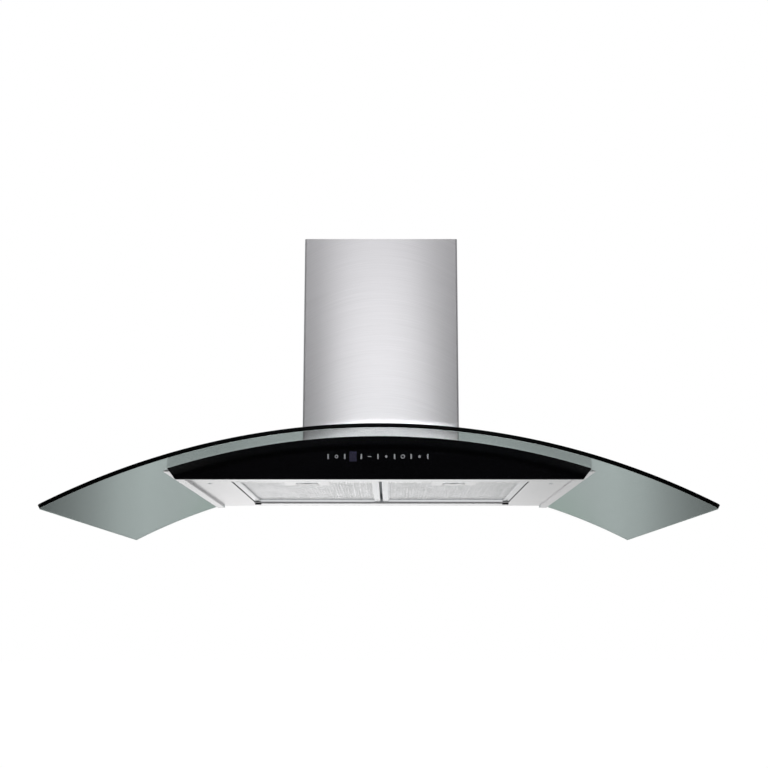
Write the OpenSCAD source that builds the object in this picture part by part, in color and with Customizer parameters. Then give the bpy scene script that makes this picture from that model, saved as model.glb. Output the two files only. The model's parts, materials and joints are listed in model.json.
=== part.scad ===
// Wall-mounted range hood with a curved glass canopy, a flat chimney cover and a black touch panel.
// The origin is the centre of the four wall holes. The wall is the plane Y = 0 and the front is -Y.

/* [Canopy glass] */
// Width of the curved glass from tip to tip
glass_w = 900; // [840:5:1000]
// Depth of the glass from the wall to its front edge
glass_depth = 495; // [450:5:560]
// Thickness of the glass
glass_t = 6; // [5:0.5:8]
// Radius of the bend at the top face
glass_bend_r = 976; // [940:2:1150]
// Rounding of the two front corners, seen from above
glass_corner_r = 5; // [2:1:12]
// Distance between the left and right glass screws
glass_screw_span = 340; // [300:5:360]
// Distance of the rear glass screws from the wall
glass_screw_rear = 120; // [60:5:180]
// Distance of the front glass screws behind the face of the black panel
glass_screw_setback = 98; // [60:2:130]

/* [Front panel] */
// Distance of the black panel behind the front edge of the glass
panel_setback = 57; // [40:1:70]
// Height of the black panel at its middle
panel_h = 61.5; // [56:0.5:75]
// Thickness of the black panel
panel_t = 5; // [4:0.5:6]
// Width of the black panel along its straight bottom edge
panel_bottom_w = 564; // [500:2:580]
// Slant of the panel's two ends, from upright
panel_end_angle = 37; // [20:1:45]
// Height of the touch row above the panel's bottom edge
touch_row_h = 32; // [26:0.5:36]
// Distance between the separator bars of the touch row
touch_pitch = 23; // [18:0.5:26]
// Shift of the touch row's middle to the left of the panel's middle
touch_shift = 2; // [0:0.5:20]

/* [Body] */
// Distance of the flat underside below the top of the arch under the glass
tray_drop = 46; // [44:0.5:50]
// Width of the arched top sheet, with its two side rims
body_w = 600; // [590:2:640]
// Thickness of the body's steel sheets
sheet_t = 0.8; // [0.7:0.1:1.2]
// Thickness of the tape between the glass and the arched sheet
tape_t = 0.8; // [0.5:0.1:1.5]

/* [Filters] */
// Width of the opening for both filters
opening_w = 452; // [430:2:460]
// Width of the flat strip between the black panel and the opening
front_strip = 130; // [120:1:140]
// Distance of the opening from the wall
opening_rear = 49; // [40:1:56]
// Height of the turned-up edge round the opening
opening_lip_h = 11; // [10:0.5:12]
// Thickness of a filter
filter_t = 9; // [8:0.5:10]
// Width of a filter's metal border
filter_border = 11; // [11:0.5:14]
// Depth of the mesh below the face of the border
mesh_inset = 2; // [1.5:0.5:2.5]
// Gap between the two filters
filter_gap = 4; // [4:0.5:8]
// Clearance between a filter and the edge of the opening
filter_clearance = 1.5; // [1.5:0.25:3]
// Diameter of a filter's pivot pins
pivot_d = 4; // [3:0.5:4]
// Gap all round a pin or shaft in its bore
running_clearance = 0.05; // [0.02:0.01:0.09]

/* [Filter latches] */
// Width of a filter's latch plate
latch_plate_w = 70; // [60:1:90]
// Length of a filter's latch plate
latch_plate_l = 36; // [34:1:44]
// Width of the sliding finger cup
latch_cup_w = 34; // [30:1:40]
// Length of the sliding finger cup
latch_cup_l = 21; // [18:0.5:22]
// Width of the latch tongue
latch_tongue_w = 24; // [16:1:26]
// Travel of a latch
latch_travel = 6; // [4:0.5:7]

/* [Lamps] */
// Diameter of a lamp's bezel
lamp_d = 66; // [56:1:70]
// Distance of each lamp from the middle
lamp_x = 190; // [180:1:195]
// Distance of the lamps behind the face of the black panel
lamp_setback = 66; // [56:1:74]
// Height of a lamp's can above the underside
lamp_can_h = 14; // [10:0.5:15]

/* [Motor box] */
// Width of the motor box
box_w = 192; // [190:1:198]
// Depth of the motor box from front to rear
box_d = 204; // [202:1:206]
// Distance of the motor box from the wall
box_rear = 18; // [16:0.5:19]
// Height of the motor box's top above the wall holes
box_top = 85; // [83:1:92]
// Thickness of the motor box's sheets
box_t = 1; // [0.8:0.1:1.2]

/* [Fan] */
// Diameter of the impeller
fan_d = 140; // [130:1:142]
// Width of the impeller
fan_w = 110; // [100:1:112]
// Number of blades on the impeller
fan_blades = 30; // [20:1:36]
// Diameter of the motor
motor_d = 80; // [70:1:88]
// Diameter of the motor's shaft
shaft_d = 8; // [6:0.5:10]
// Distance of the fan's shaft from the wall
fan_from_wall = 117; // [116:0.5:119]
// Distance of the fan's shaft below the wall holes
fan_below = 12; // [10:0.5:14]

/* [Duct collar] */
// Outer diameter of the duct collar
duct_d = 150; // [140:1:150]
// Height of the duct collar
collar_h = 45; // [35:1:50]
// Wall thickness of the duct collar
collar_t = 1.5; // [1.2:0.1:2.5]
// Distance of the collar's middle from the wall
collar_from_wall = 102; // [101:0.5:106]

/* [Chimney] */
// Width of the lower chimney cover
chimney_w = 249; // [240:1:260]
// Depth of the lower chimney cover from the wall
chimney_d = 250; // [248:1:270]
// Height of the chimney's top above the wall holes
chimney_top = 258; // [225:1:300]
// Thickness of the chimney sheets
chimney_t = 1; // [0.8:0.1:1.2]
// Radius of the chimney's two upright bends
chimney_bend_r = 3; // [2:0.5:5]
// Gap between the lower and the upper chimney cover
chimney_gap = 0.5; // [0.4:0.1:0.8]

/* [Wall mount] */
// Height of the wall holes above the top of the glass
mount_above_glass = 100; // [98:1:104]
// Distance between the wall holes, left to right
wall_hole_w = 160; // [140:1:164]
// Distance between the wall holes, top to bottom
wall_hole_h = 100; // [80:1:104]
// Diameter of the wall holes
wall_hole_d = 8; // [6:0.5:9]
// Thickness of the wall bracket
bracket_t = 2; // [1.5:0.5:3]

/* [Hidden] */
$fn = 96;

// Small amounts used throughout
cut = 1;
seat_gap = 0.3;

// Arch of the glass and of the sheet below it
arch_z = -mount_above_glass - glass_bend_r;
glass_under_r = glass_bend_r - glass_t;
sheet_top_r = glass_under_r - tape_t;
sheet_under_r = sheet_top_r - sheet_t;
arch_fn = 360;

// Body heights and depths
under_z = -mount_above_glass - glass_t - tray_drop;
floor_z = under_z + sheet_t;
panel_front_y = -(glass_depth - panel_setback);
panel_back_y = panel_front_y + panel_t;
wall_front_y = panel_back_y + sheet_t;
wall_back_y = wall_front_y + sheet_t;
floor_half_w = sqrt(pow(sheet_under_r, 2) - pow(floor_z - arch_z, 2)) - seat_gap;

// Front panel
panel_bottom_z = -mount_above_glass - glass_t - panel_h;
panel_top_gap = 0.4;
panel_top_r = glass_under_r - panel_top_gap;
carrier_inset = 3;
touch_z = panel_bottom_z + touch_row_h;
touch_count = 6;
touch_print_t = 0.1;
bar_w = 2;
bar_h = 7;
display_w = 10;
display_h = 14;
symbol_line = 1.2;
ring_small_r = 2.6;
ring_large_r = 3;
minus_w = 5;
dot_small_r = 1.7;
dot_large_r = 1.9;
board_w = 170;
board_h = 26;
holder_rim = 2;
holder_t = 5;

// Glass cut-out and screws
notch_margin = 10;
box_flange = 8;
notch_half_w = box_w / 2 + notch_margin;
notch_front_y = -(box_rear + box_d + notch_margin);
glass_screw_d = 5;
glass_hole_d = 9;
glass_screw_y = [-glass_screw_rear, panel_front_y + glass_screw_setback];
glass_sleeve_play = 0.4;
screw_reach = 3;
glass_washer_d = 16;
glass_washer_t = 1.5;
screw_head_h = 2.5;

// Filters
opening_front_y = panel_front_y + front_strip;
filter_w = opening_w / 2 - filter_clearance - filter_gap / 2;
filter_front_y = opening_front_y + filter_clearance;
filter_rear_y = -opening_rear - filter_clearance - 1;
filter_z = under_z + 0.5;
filter_top_z = filter_z + filter_t;
filter_mid_x = filter_gap / 2 + filter_w / 2;
pivot_y = filter_rear_y - 5;
pivot_z = filter_z + filter_t / 2;
pivot_reach = 8;
pivot_bore_l = 9.5;
pivot_head_d = 7;
pivot_head_t = 1.2;
mesh_front_y = filter_front_y + filter_border;
mesh_rear_y = filter_rear_y - filter_border;
mesh_z = filter_z + mesh_inset;
mesh_t = filter_t - 2 * mesh_inset;

// Latches
latch_plate_t = 1.4;
latch_z = mesh_z - latch_plate_t + 0.3;
latch_cup_h = 6.1;
latch_front_y = mesh_front_y + 6.5;
latch_cup_wall = 3;
latch_roof_t = 1.2;
latch_tongue_t = 2.4;
latch_tongue_z = latch_z + 2;
latch_play = 0.3;

// Centre stiffener over the gap between the filters
stiff_w = 20;
stiff_t = 1.2;
stiff_h = 8;
pivot_swing = sqrt(pow(filter_t / 2, 2) + pow(filter_rear_y - pivot_y, 2));
stiff_z = pivot_z + pivot_swing + 1;
tab_t = filter_gap / 2;
tab_l = 11;
tab_drop = 3.5;

// Lamps
lamp_bezel_t = 2;
lamp_can_d = lamp_d - 10;
lamp_lens_d = lamp_d - 16;
lamp_lens_t = 2;
lamp_lens_rise = 0.5;
lamp_y = panel_front_y + lamp_setback;

// Electrical boxes in the body
power_w = 150;
power_l = 80;
power_h = 30;
power_front_gap = 16;
power_lid_step = 2;
driver_w = 50;
driver_l = 60;
driver_h = 18;
driver_gap = 14;
driver_hole_d = 4;
driver_hole_edge = 5;

// Motor box
box_front_y = -(box_rear + box_d);
box_rear_y = -box_rear;
box_foot_z = -mount_above_glass - 30;
box_inlet_inset = 6;
box_flange_t = 1.2;
box_screw_d = 4;
box_screw_head_h = 1.5;
flange_screw_d = 3;
cover_screw_z = [-60, 40];
cover_tab = 14;
cover_tab_foot = 50;
cover_tab_head = 20;
flange_screw_inset = 40;
inlet_half_w = box_w / 2 - box_inlet_inset;

// Scroll housing round the impeller
fan_y = -fan_from_wall;
fan_z = -fan_below;
scroll_tongue_r = fan_d / 2 + 7;
scroll_growth = 17;
scroll_tongue_angle = 50;
scroll_sweep = 230;
scroll_steps = 46;
scroll_t = 1.2;
scroll_half_w = fan_w / 2 + 7;
scroll_top_z = box_top - box_t;
scroll_side_t = 1;
inlet_r = fan_d / 2 - 12;
inlet_ring_w = 10;
inlet_ring_h = 7;

// Impeller, motor and shaft
blade_depth = 12;
blade_t = 1.2;
blade_lean = 25;
fan_ring_t = 3;
fan_disc_t = 1.5;
fan_hub_d = 24;
fan_hub_l = 16;
fan_hub_x = -4;
motor_x = -(scroll_half_w + scroll_side_t + inlet_ring_h + 1);
motor_l = -motor_x - 8;
shaft_x = -58;
shaft_l = 72;
motor_arm_w = 12;
motor_arm_t = 3;
motor_arm_r = inlet_r + inlet_ring_w + 8;

// Capacitor on the inside of the motor box cover
capacitor_d = 26;
capacitor_l = 60;
capacitor_x = 79;
capacitor_z = -95;
capacitor_band_w = 8;

// Duct collar and its dampers
collar_y = -collar_from_wall;
collar_flange_w = 9;
collar_flange_t = 1.5;
collar_inner_r = duct_d / 2 - collar_t;
collar_screw_r = duct_d / 2 + 5;
collar_screw_d = 4;
damper_rod_d = 4;
damper_z = box_top + 9;
damper_t = 1;
damper_edge_gap = 1;
damper_knuckle_d = 6.4;
damper_knuckle_l = 12;
damper_hinge_gap = 0.4;
damper_ledge_w = 3;
damper_ledge_t = 1;

// Terminal box on the motor box's top
terminal_w = 46;
terminal_l = 28;
terminal_h = 26;
terminal_x = box_w / 2 - 4 - terminal_w;
terminal_y = box_front_y + 3;
terminal_lid_t = 2;
gland_d = 14;
gland_bore_d = 7;
gland_l = 10;

// Chimney covers
chimney_seat = 0.3;
chimney_rear_lip = 12;
chimney_foot_z = -mount_above_glass - 20;
upper_step = chimney_t + chimney_gap;
upper_half_w = chimney_w / 2 - upper_step;
upper_d = chimney_d - 2 * upper_step;
side_bracket_z = -mount_above_glass + 16;
side_bracket_t = 1.2;
side_bracket_w = 30;
side_bracket_y = -80;
side_bracket_tab = 14;
upper_foot_z = side_bracket_z + side_bracket_t + seat_gap;
top_bracket_h = 25;
top_bracket_z = chimney_top - 34;
top_bracket_t = 1.2;
top_bracket_arm = 22;

// Wall bracket
bracket_h = wall_hole_h + 30;
bracket_arm_l = 60;
bracket_screw_y = -0.7 * bracket_arm_l;
bracket_screw_z = 30;
bracket_head_h = 2;

// Box between two opposite corners
module block(low, high) {
    translate(low) cube(high - low);
}

// Arched sheet between two depths, with its outer radius and thickness
module arch_sheet(outer_r, thick, half_w, y_front, y_rear) {
    translate([0, y_rear, arch_z]) rotate([90, 0, 0]) linear_extrude(y_rear - y_front)
        intersection() {
            difference() {
                circle(r = outer_r, $fn = arch_fn);
                circle(r = outer_r - thick, $fn = arch_fn);
            }
            translate([-half_w, 0]) square([2 * half_w, outer_r + cut]);
        }
}

// Solid cylinder of the arch, for scribing a piece to the glass
module arch_core(r, y_front, y_rear) {
    translate([0, y_rear, arch_z]) rotate([90, 0, 0])
        cylinder(r = r, h = y_rear - y_front, $fn = arch_fn);
}

// Upright plate under the arch, from a flat bottom at z_low
module arch_wall(r, half_w, z_low, y_front, y_rear) {
    translate([0, y_rear, 0]) rotate([90, 0, 0]) linear_extrude(y_rear - y_front)
        intersection() {
            translate([0, arch_z]) circle(r = r, $fn = arch_fn);
            translate([-half_w, z_low]) square([2 * half_w, -z_low]);
        }
}

// Outline with two rounded front corners, from the wall to the given depth
module front_rounded(half_w, depth, r) {
    translate([-half_w, -depth + r]) square([2 * half_w, depth - r]);
    translate([-half_w + r, -depth]) square([2 * (half_w - r), depth]);
    for (side = [-1, 1])
        translate([side * (half_w - r), -depth + r]) circle(r = r);
}

// Rod along X from x_low to x_high, at the height z and the depth y
module rod_x(x_low, x_high, y, z, d) {
    translate([x_low, y, z]) rotate([0, 90, 0]) cylinder(d = d, h = x_high - x_low);
}

// Screw that points down, with its domed head on the plane z = 0
module screw_down(d, head_d, head_h, length) {
    translate([0, 0, -length]) cylinder(d = d, h = length);
    rotate_extrude() intersection() {
        translate([0, head_h - head_d]) circle(r = head_d, $fn = 180);
        square([head_d / 2, head_h]);
    }
}

// Places of the four glass screws, on the arch of radius r
module at_glass_screws(r) {
    for (side = [-1, 1], y = glass_screw_y)
        translate([0, y, arch_z])
            rotate([0, side * asin(glass_screw_span / 2 / glass_bend_r), 0])
                translate([0, 0, r]) children();
}

// Curved glass, cut out at the rear for the motor box and drilled for its four screws
module glass_canopy() {
    color([0.55, 0.62, 0.60, 0.5]) difference() {
        intersection() {
            arch_sheet(glass_bend_r, glass_t, glass_w / 2 + cut, -glass_depth - cut, cut);
            translate([0, 0, arch_z]) linear_extrude(glass_bend_r + cut)
                front_rounded(glass_w / 2, glass_depth, glass_corner_r);
        }
        block([-notch_half_w, notch_front_y, arch_z], [notch_half_w, cut, 0]);
        at_glass_screws(glass_bend_r)
            translate([0, 0, -glass_t - cut]) cylinder(d = glass_hole_d, h = glass_t + 2 * cut);
    }
}

// Strips of tape that seat the glass on the arched sheet
module glass_tape() {
    strip = 12;
    inset = 6;
    color("dimgray") difference() {
        arch_sheet(glass_under_r, tape_t, body_w / 2 - inset, wall_front_y + inset, -inset);
        block([-body_w / 2 + inset + strip, wall_front_y + inset + strip, arch_z],
              [-notch_half_w - strip, -inset - strip, 0]);
        block([notch_half_w + strip, wall_front_y + inset + strip, arch_z],
              [body_w / 2 - inset - strip, -inset - strip, 0]);
        block([-notch_half_w - strip - cut, wall_front_y + inset + strip, arch_z],
              [notch_half_w + strip + cut, notch_front_y - strip, 0]);
        block([-notch_half_w, notch_front_y, arch_z], [notch_half_w, cut, 0]);
    }
}

// Four screws that clamp the glass to the arched sheet
module glass_screws() {
    color("silver") at_glass_screws(glass_bend_r + glass_washer_t)
        screw_down(glass_screw_d, glass_screw_d * 2, screw_head_h,
                   glass_washer_t + glass_t + tape_t + sheet_t + screw_reach);
}

// Rubber washers with a sleeve in the glass holes
module glass_washers() {
    color([0.15, 0.15, 0.15]) at_glass_screws(glass_bend_r) difference() {
        union() {
            cylinder(d = glass_washer_d, h = glass_washer_t);
            translate([0, 0, -glass_t])
                cylinder(d = glass_hole_d - glass_sleeve_play, h = glass_t + glass_washer_t);
        }
        translate([0, 0, -glass_t - cut])
            cylinder(d = glass_screw_d, h = glass_t + glass_washer_t + 2 * cut);
    }
}

// Outline of the black panel, grown by the given amount at its ends and bottom
module panel_outline(top_r, grow) {
    lean = tan(panel_end_angle);
    low = panel_bottom_z - grow;
    half = panel_bottom_w / 2 + grow;
    rise = panel_h + 2 * grow;
    intersection() {
        translate([0, arch_z]) circle(r = top_r, $fn = arch_fn);
        polygon([[-half, low], [half, low], [half + lean * rise, low + rise],
                 [-half - lean * rise, low + rise]]);
    }
}

// Black glass front panel
module front_panel() {
    color([0.02, 0.02, 0.03]) translate([0, panel_back_y, 0]) rotate([90, 0, 0])
        linear_extrude(panel_t) panel_outline(panel_top_r, 0);
}

// Steel backing that carries the black glass on the body's front wall
module front_panel_carrier() {
    window_low = touch_z - board_h / 2 - seat_gap;
    color("gray") difference() {
        translate([0, wall_front_y, 0]) rotate([90, 0, 0]) linear_extrude(sheet_t)
            panel_outline(sheet_under_r, -carrier_inset);
        block([-board_w / 2 - seat_gap - touch_shift, panel_back_y - cut, window_low],
              [board_w / 2 + seat_gap - touch_shift, wall_front_y + cut,
               window_low + board_h + 2 * seat_gap]);
    }
}

// Separator bars and generic symbols of the touch row, printed on the glass
module touch_symbols() {
    first_x = -touch_shift - touch_pitch * touch_count / 2;
    color("white") translate([0, panel_front_y, touch_z]) rotate([90, 0, 0])
        linear_extrude(touch_print_t) {
            for (i = [0 : touch_count])
                translate([first_x + i * touch_pitch, 0]) square([bar_w, bar_h], center = true);
            translate([first_x + 0.5 * touch_pitch, 0]) difference() {
                circle(r = ring_small_r);
                circle(r = ring_small_r - symbol_line);
            }
            translate([first_x + 2.5 * touch_pitch, 0]) square([minus_w, symbol_line], center = true);
            translate([first_x + 3.5 * touch_pitch, 0]) circle(r = dot_small_r);
            translate([first_x + 4.5 * touch_pitch, 0]) difference() {
                circle(r = ring_large_r);
                circle(r = ring_large_r - symbol_line);
            }
            translate([first_x + 5.5 * touch_pitch, 0]) circle(r = dot_large_r);
        }
}

// Small display window in the touch row
module display_window() {
    x = -touch_shift - touch_pitch * 1.5;
    color([0.3, 0.28, 0.36])
        block([x - display_w / 2, panel_front_y - touch_print_t, touch_z - display_h / 2],
              [x + display_w / 2, panel_front_y, touch_z + display_h / 2]);
}

// Touch circuit board behind the glass
module touch_board() {
    color("darkgreen")
        block([-board_w / 2 - touch_shift, panel_back_y, touch_z - board_h / 2],
              [board_w / 2 - touch_shift, wall_back_y, touch_z + board_h / 2]);
}

// Plastic tray that holds the touch board in the front wall
module touch_board_holder() {
    color([0.2, 0.2, 0.22])
        block([-board_w / 2 - touch_shift - holder_rim, wall_back_y,
               max(touch_z - board_h / 2 - holder_rim, floor_z)],
              [board_w / 2 - touch_shift + holder_rim, wall_back_y + holder_t,
               touch_z + board_h / 2 + holder_rim]);
}

// Arched top sheet of the body, with the air inlet and rims that show outside the underside
module body_top() {
    color("lightgray") difference() {
        arch_sheet(sheet_top_r, sheet_t, body_w / 2, wall_front_y, 0);
        block([-inlet_half_w, box_front_y + box_inlet_inset, arch_z],
              [inlet_half_w, box_rear_y - box_inlet_inset, 0]);
        at_glass_screws(sheet_under_r) translate([0, 0, -cut])
            cylinder(d = glass_screw_d, h = sheet_t + 2 * cut);
        at_flange_screws() translate([0, 0, -box_flange_t - sheet_t - cut])
            cylinder(d = flange_screw_d, h = sheet_t + 2 * cut);
    }
}

// Flat underside with the filter opening, its turned-up edge and two lamp holes
module underside_panel() {
    half = opening_w / 2;
    front = opening_front_y;
    rear = -opening_rear;
    color("gainsboro") difference() {
        union() {
            block([-floor_half_w, wall_front_y, under_z], [floor_half_w, 0, floor_z]);
            block([-half - sheet_t, front - sheet_t, under_z],
                  [half + sheet_t, rear + sheet_t, under_z + opening_lip_h]);
        }
        block([-half, front, under_z - cut], [half, rear, under_z + opening_lip_h + cut]);
        for (side = [-1, 1]) {
            translate([side * lamp_x, lamp_y, under_z - cut])
                cylinder(d = lamp_can_d + 1, h = sheet_t + 2 * cut);
            block([side * filter_mid_x - latch_tongue_w / 2 - 1, front - sheet_t - cut,
                   latch_tongue_z - 1],
                  [side * filter_mid_x + latch_tongue_w / 2 + 1, front + cut,
                   latch_tongue_z + latch_tongue_t + 1]);
        }
        rod_x(-half - sheet_t - cut, half + sheet_t + cut, pivot_y, pivot_z, pivot_d);
    }
}

// Front wall of the body, with a window for the touch board
module body_front_wall() {
    window_low = touch_z - board_h / 2 - seat_gap;
    color("silver") difference() {
        arch_wall(sheet_under_r, floor_half_w, floor_z, wall_front_y, wall_back_y);
        block([-board_w / 2 - seat_gap - touch_shift, wall_front_y - cut, window_low],
              [board_w / 2 + seat_gap - touch_shift, wall_back_y + cut,
               window_low + board_h + 2 * seat_gap]);
    }
}

// Rear wall of the body, flat on the kitchen wall
module body_rear_wall() {
    color("silver") arch_wall(sheet_under_r, floor_half_w, floor_z, -sheet_t, 0);
}

// Channel from front wall to rear wall, with the tab that holds the middle pivot pin
module centre_stiffener() {
    color("silver") difference() {
        union() {
            difference() {
                block([-stiff_w / 2, wall_back_y, stiff_z], [stiff_w / 2, -sheet_t, stiff_z + stiff_h]);
                block([-stiff_w / 2 + stiff_t, wall_back_y - cut, stiff_z + stiff_t],
                      [stiff_w / 2 - stiff_t, cut, stiff_z + stiff_h + cut]);
            }
            block([-tab_t / 2, pivot_y - tab_l / 2, pivot_z - tab_drop],
                  [tab_t / 2, pivot_y + tab_l / 2, stiff_z + stiff_t / 2]);
        }
        rod_x(-tab_t, tab_t, pivot_y, pivot_z, pivot_d);
        block([-board_w / 2 - touch_shift - holder_rim - seat_gap, wall_back_y - cut,
               touch_z - board_h],
              [board_w / 2 + holder_rim, wall_back_y + holder_t + seat_gap, touch_z + board_h]);
        block([-power_w / 2 - seat_gap, wall_back_y + power_front_gap - seat_gap, under_z],
              [power_w / 2 + seat_gap, wall_back_y + power_front_gap + power_l + seat_gap,
               floor_z + power_h + seat_gap]);
    }
}

// Pivot pins at the rear of the two filters: one at each side and one through the middle tab
module filter_pivot_pins() {
    edge = opening_w / 2;
    middle = filter_gap / 2 + pivot_reach;
    color("silver") {
        rod_x(-middle, middle, pivot_y, pivot_z, pivot_d);
        for (side = [-1, 1]) mirror([side < 0 ? 1 : 0, 0, 0]) {
            rod_x(edge - filter_clearance - pivot_reach, edge + sheet_t, pivot_y, pivot_z, pivot_d);
            rod_x(edge + sheet_t, edge + sheet_t + pivot_head_t, pivot_y, pivot_z, pivot_head_d);
        }
    }
}

// Box with the power board, on the floor behind the front wall
module power_box() {
    y = wall_back_y + power_front_gap;
    color([0.25, 0.25, 0.27]) union() {
        block([-power_w / 2, y, floor_z],
              [power_w / 2, y + power_l, floor_z + power_h - power_lid_step]);
        block([-power_w / 2 + power_lid_step, y + power_lid_step, floor_z + power_h - power_lid_step],
              [power_w / 2 - power_lid_step, y + power_l - power_lid_step, floor_z + power_h]);
    }
}

// Supply unit of the lamps, beside the power box
module lamp_driver() {
    x = power_w / 2 + driver_gap;
    y = wall_back_y + power_front_gap;
    color("whitesmoke") difference() {
        block([x, y, floor_z], [x + driver_w, y + driver_l, floor_z + driver_h]);
        for (hole_y = [driver_hole_edge, driver_l - driver_hole_edge])
            translate([x + driver_w / 2, y + hole_y, floor_z - cut])
                cylinder(d = driver_hole_d, h = driver_h + 2 * cut);
    }
}

// Two ring bezels under the lamps
module lamp_bezels() {
    color("silver") for (side = [-1, 1])
        translate([side * lamp_x, lamp_y, under_z]) rotate_extrude() {
            translate([lamp_lens_d / 2, -lamp_bezel_t / 2])
                square([(lamp_d - lamp_lens_d) / 2 - lamp_bezel_t / 2, lamp_bezel_t / 2]);
            translate([lamp_lens_d / 2, -lamp_bezel_t])
                square([(lamp_d - lamp_lens_d) / 2 - lamp_bezel_t, lamp_bezel_t]);
            intersection() {
                translate([lamp_d / 2 - lamp_bezel_t, 0]) circle(r = lamp_bezel_t);
                translate([lamp_d / 2 - lamp_bezel_t, -lamp_bezel_t]) square(lamp_bezel_t);
            }
        }
}

// Diffuser of one lamp
module lamp_lens(side) {
    color("white") translate([side * lamp_x, lamp_y, under_z - lamp_bezel_t + lamp_lens_rise])
        cylinder(d = lamp_lens_d, h = lamp_lens_t);
}

// Closed can with the light source of one lamp
module lamp_can(side) {
    base = under_z - lamp_bezel_t + lamp_lens_rise + lamp_lens_t;
    color("lightgray") translate([side * lamp_x, lamp_y, base]) cylinder(d = lamp_can_d, h = lamp_can_h);
}

// Motor box: three walls, a top with the outlet hole, and a base flange that follows the arch
module motor_box() {
    half = box_w / 2;
    color("silver") difference() {
        union() {
            block([-half, box_front_y, box_foot_z], [half, box_rear_y, box_top]);
            arch_sheet(sheet_top_r + box_flange_t, box_flange_t, half + box_flange,
                       box_front_y - box_flange, box_rear_y + box_flange);
        }
        block([-half + box_t, box_front_y - cut, arch_z], [half - box_t, box_rear_y - box_t,
              box_top - box_t]);
        block([-half + box_t, box_front_y - box_flange - cut, arch_z],
              [half - box_t, box_front_y, box_top - box_t]);
        arch_core(sheet_top_r, box_front_y - box_flange - cut, cut);
        translate([0, collar_y, box_top - box_t - cut])
            cylinder(r = collar_inner_r - damper_ledge_w, h = box_t + 2 * cut);
        for (side = [-1, 1], z = [-bracket_screw_z, bracket_screw_z])
            rod_x(side * half - 2 * box_t, side * half + 2 * box_t, bracket_screw_y, z, box_screw_d);
        at_cover_screws() translate([0, 0, -box_t - cut]) cylinder(d = box_screw_d, h = box_t + 2 * cut);
        at_flange_screws() translate([0, 0, -box_flange_t - cut])
            cylinder(d = flange_screw_d, h = box_flange_t + 2 * cut);
    }
}

// Front cover of the motor box
module motor_box_cover() {
    half = box_w / 2 - box_t - seat_gap;
    color("gray") difference() {
        union() {
            block([-half, box_front_y, box_foot_z],
                  [half, box_front_y + box_t, box_top - box_t - seat_gap]);
            for (side = [-1, 1])
                block([side < 0 ? -half : half - box_t, box_front_y, box_foot_z + cover_tab_foot],
                      [side < 0 ? -half + box_t : half, box_front_y + cover_tab,
                       box_top - cover_tab_head]);
        }
        arch_core(sheet_top_r + box_flange_t + seat_gap, box_front_y - cut, cut);
        at_cover_screws() translate([0, 0, -2 * box_t - cut])
            cylinder(d = box_screw_d, h = 2 * box_t + 2 * cut);
    }
}

// Places of the cover screws, on the outer side faces of the motor box
module at_cover_screws() {
    for (side = [-1, 1], z = cover_screw_z)
        translate([side * box_w / 2, box_front_y + cover_tab / 2, z]) rotate([0, side * 90, 0])
            children();
}

// Places of the base flange screws, on the flange's top
module at_flange_screws() {
    angle = asin((box_w / 2 + box_flange / 2 + box_t / 2) / sheet_top_r);
    for (side = [-1, 1], y = [box_front_y + flange_screw_inset, box_rear_y - flange_screw_inset])
        translate([0, y, arch_z]) rotate([0, side * angle, 0])
            translate([0, 0, sheet_top_r + box_flange_t]) children();
}

// Screws of the motor box cover, from the sides, and of the base flange, from above
module motor_box_screws() {
    color("dimgray") {
        at_cover_screws()
            screw_down(box_screw_d, box_screw_d * 2, box_screw_head_h, 2 * box_t + seat_gap + 1);
        at_flange_screws()
            screw_down(flange_screw_d, flange_screw_d * 1.9, box_screw_head_h,
                       box_flange_t + sheet_t + screw_reach);
    }
}

// Radius of the scroll at the angle a past its tongue
function scroll_r(a) = scroll_tongue_r + scroll_growth * a / scroll_sweep;

// Point of the scroll at step i, with the outline moved out by the given amount
function scroll_point(i, out) =
    let (a = scroll_sweep * i / scroll_steps, angle = scroll_tongue_angle - a)
    [(scroll_r(a) + out) * cos(angle), (scroll_r(a) + out) * sin(angle)];

// Outline of the scroll: the spiral, then straight up on both sides of the outlet
module scroll_outline(out) {
    top = scroll_top_z - fan_z;
    first_x = scroll_point(0, 0)[0] + out;
    last_x = scroll_point(scroll_steps, out)[0];
    polygon(concat([[first_x, top]], [[first_x, scroll_point(0, 0)[1]]],
                   [for (i = [1 : scroll_steps]) scroll_point(i, out)], [[last_x, top]]));
}

// Puts an outline drawn towards the front and up into the plane of the scroll
module at_scroll(x) {
    translate([x, fan_y, fan_z]) rotate([90, 0, -90]) children();
}

// Curved wall of the scroll
module scroll_wrap() {
    color("lightslategray") at_scroll(scroll_half_w) linear_extrude(2 * scroll_half_w)
        difference() {
            scroll_outline(scroll_t);
            scroll_outline(0);
        }
}

// Side plate of the scroll with its round inlet
module scroll_side(side) {
    x = side > 0 ? scroll_half_w + scroll_side_t : -scroll_half_w;
    color("lightslategray") at_scroll(x) linear_extrude(scroll_side_t) difference() {
        scroll_outline(scroll_t);
        circle(r = inlet_r);
    }
}

// Rounded inlet ring on a side plate
module inlet_ring(side) {
    x = side * (scroll_half_w + scroll_side_t);
    color("black") translate([x, fan_y, fan_z]) rotate([0, side * 90, 0])
        rotate_extrude() intersection() {
            translate([inlet_r, 0]) square([inlet_ring_w, inlet_ring_h]);
            difference() {
                translate([inlet_r, 0]) square([inlet_ring_w, inlet_ring_h]);
                translate([inlet_r, inlet_ring_h]) circle(r = inlet_ring_h - 1.5);
            }
        }
}

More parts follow.
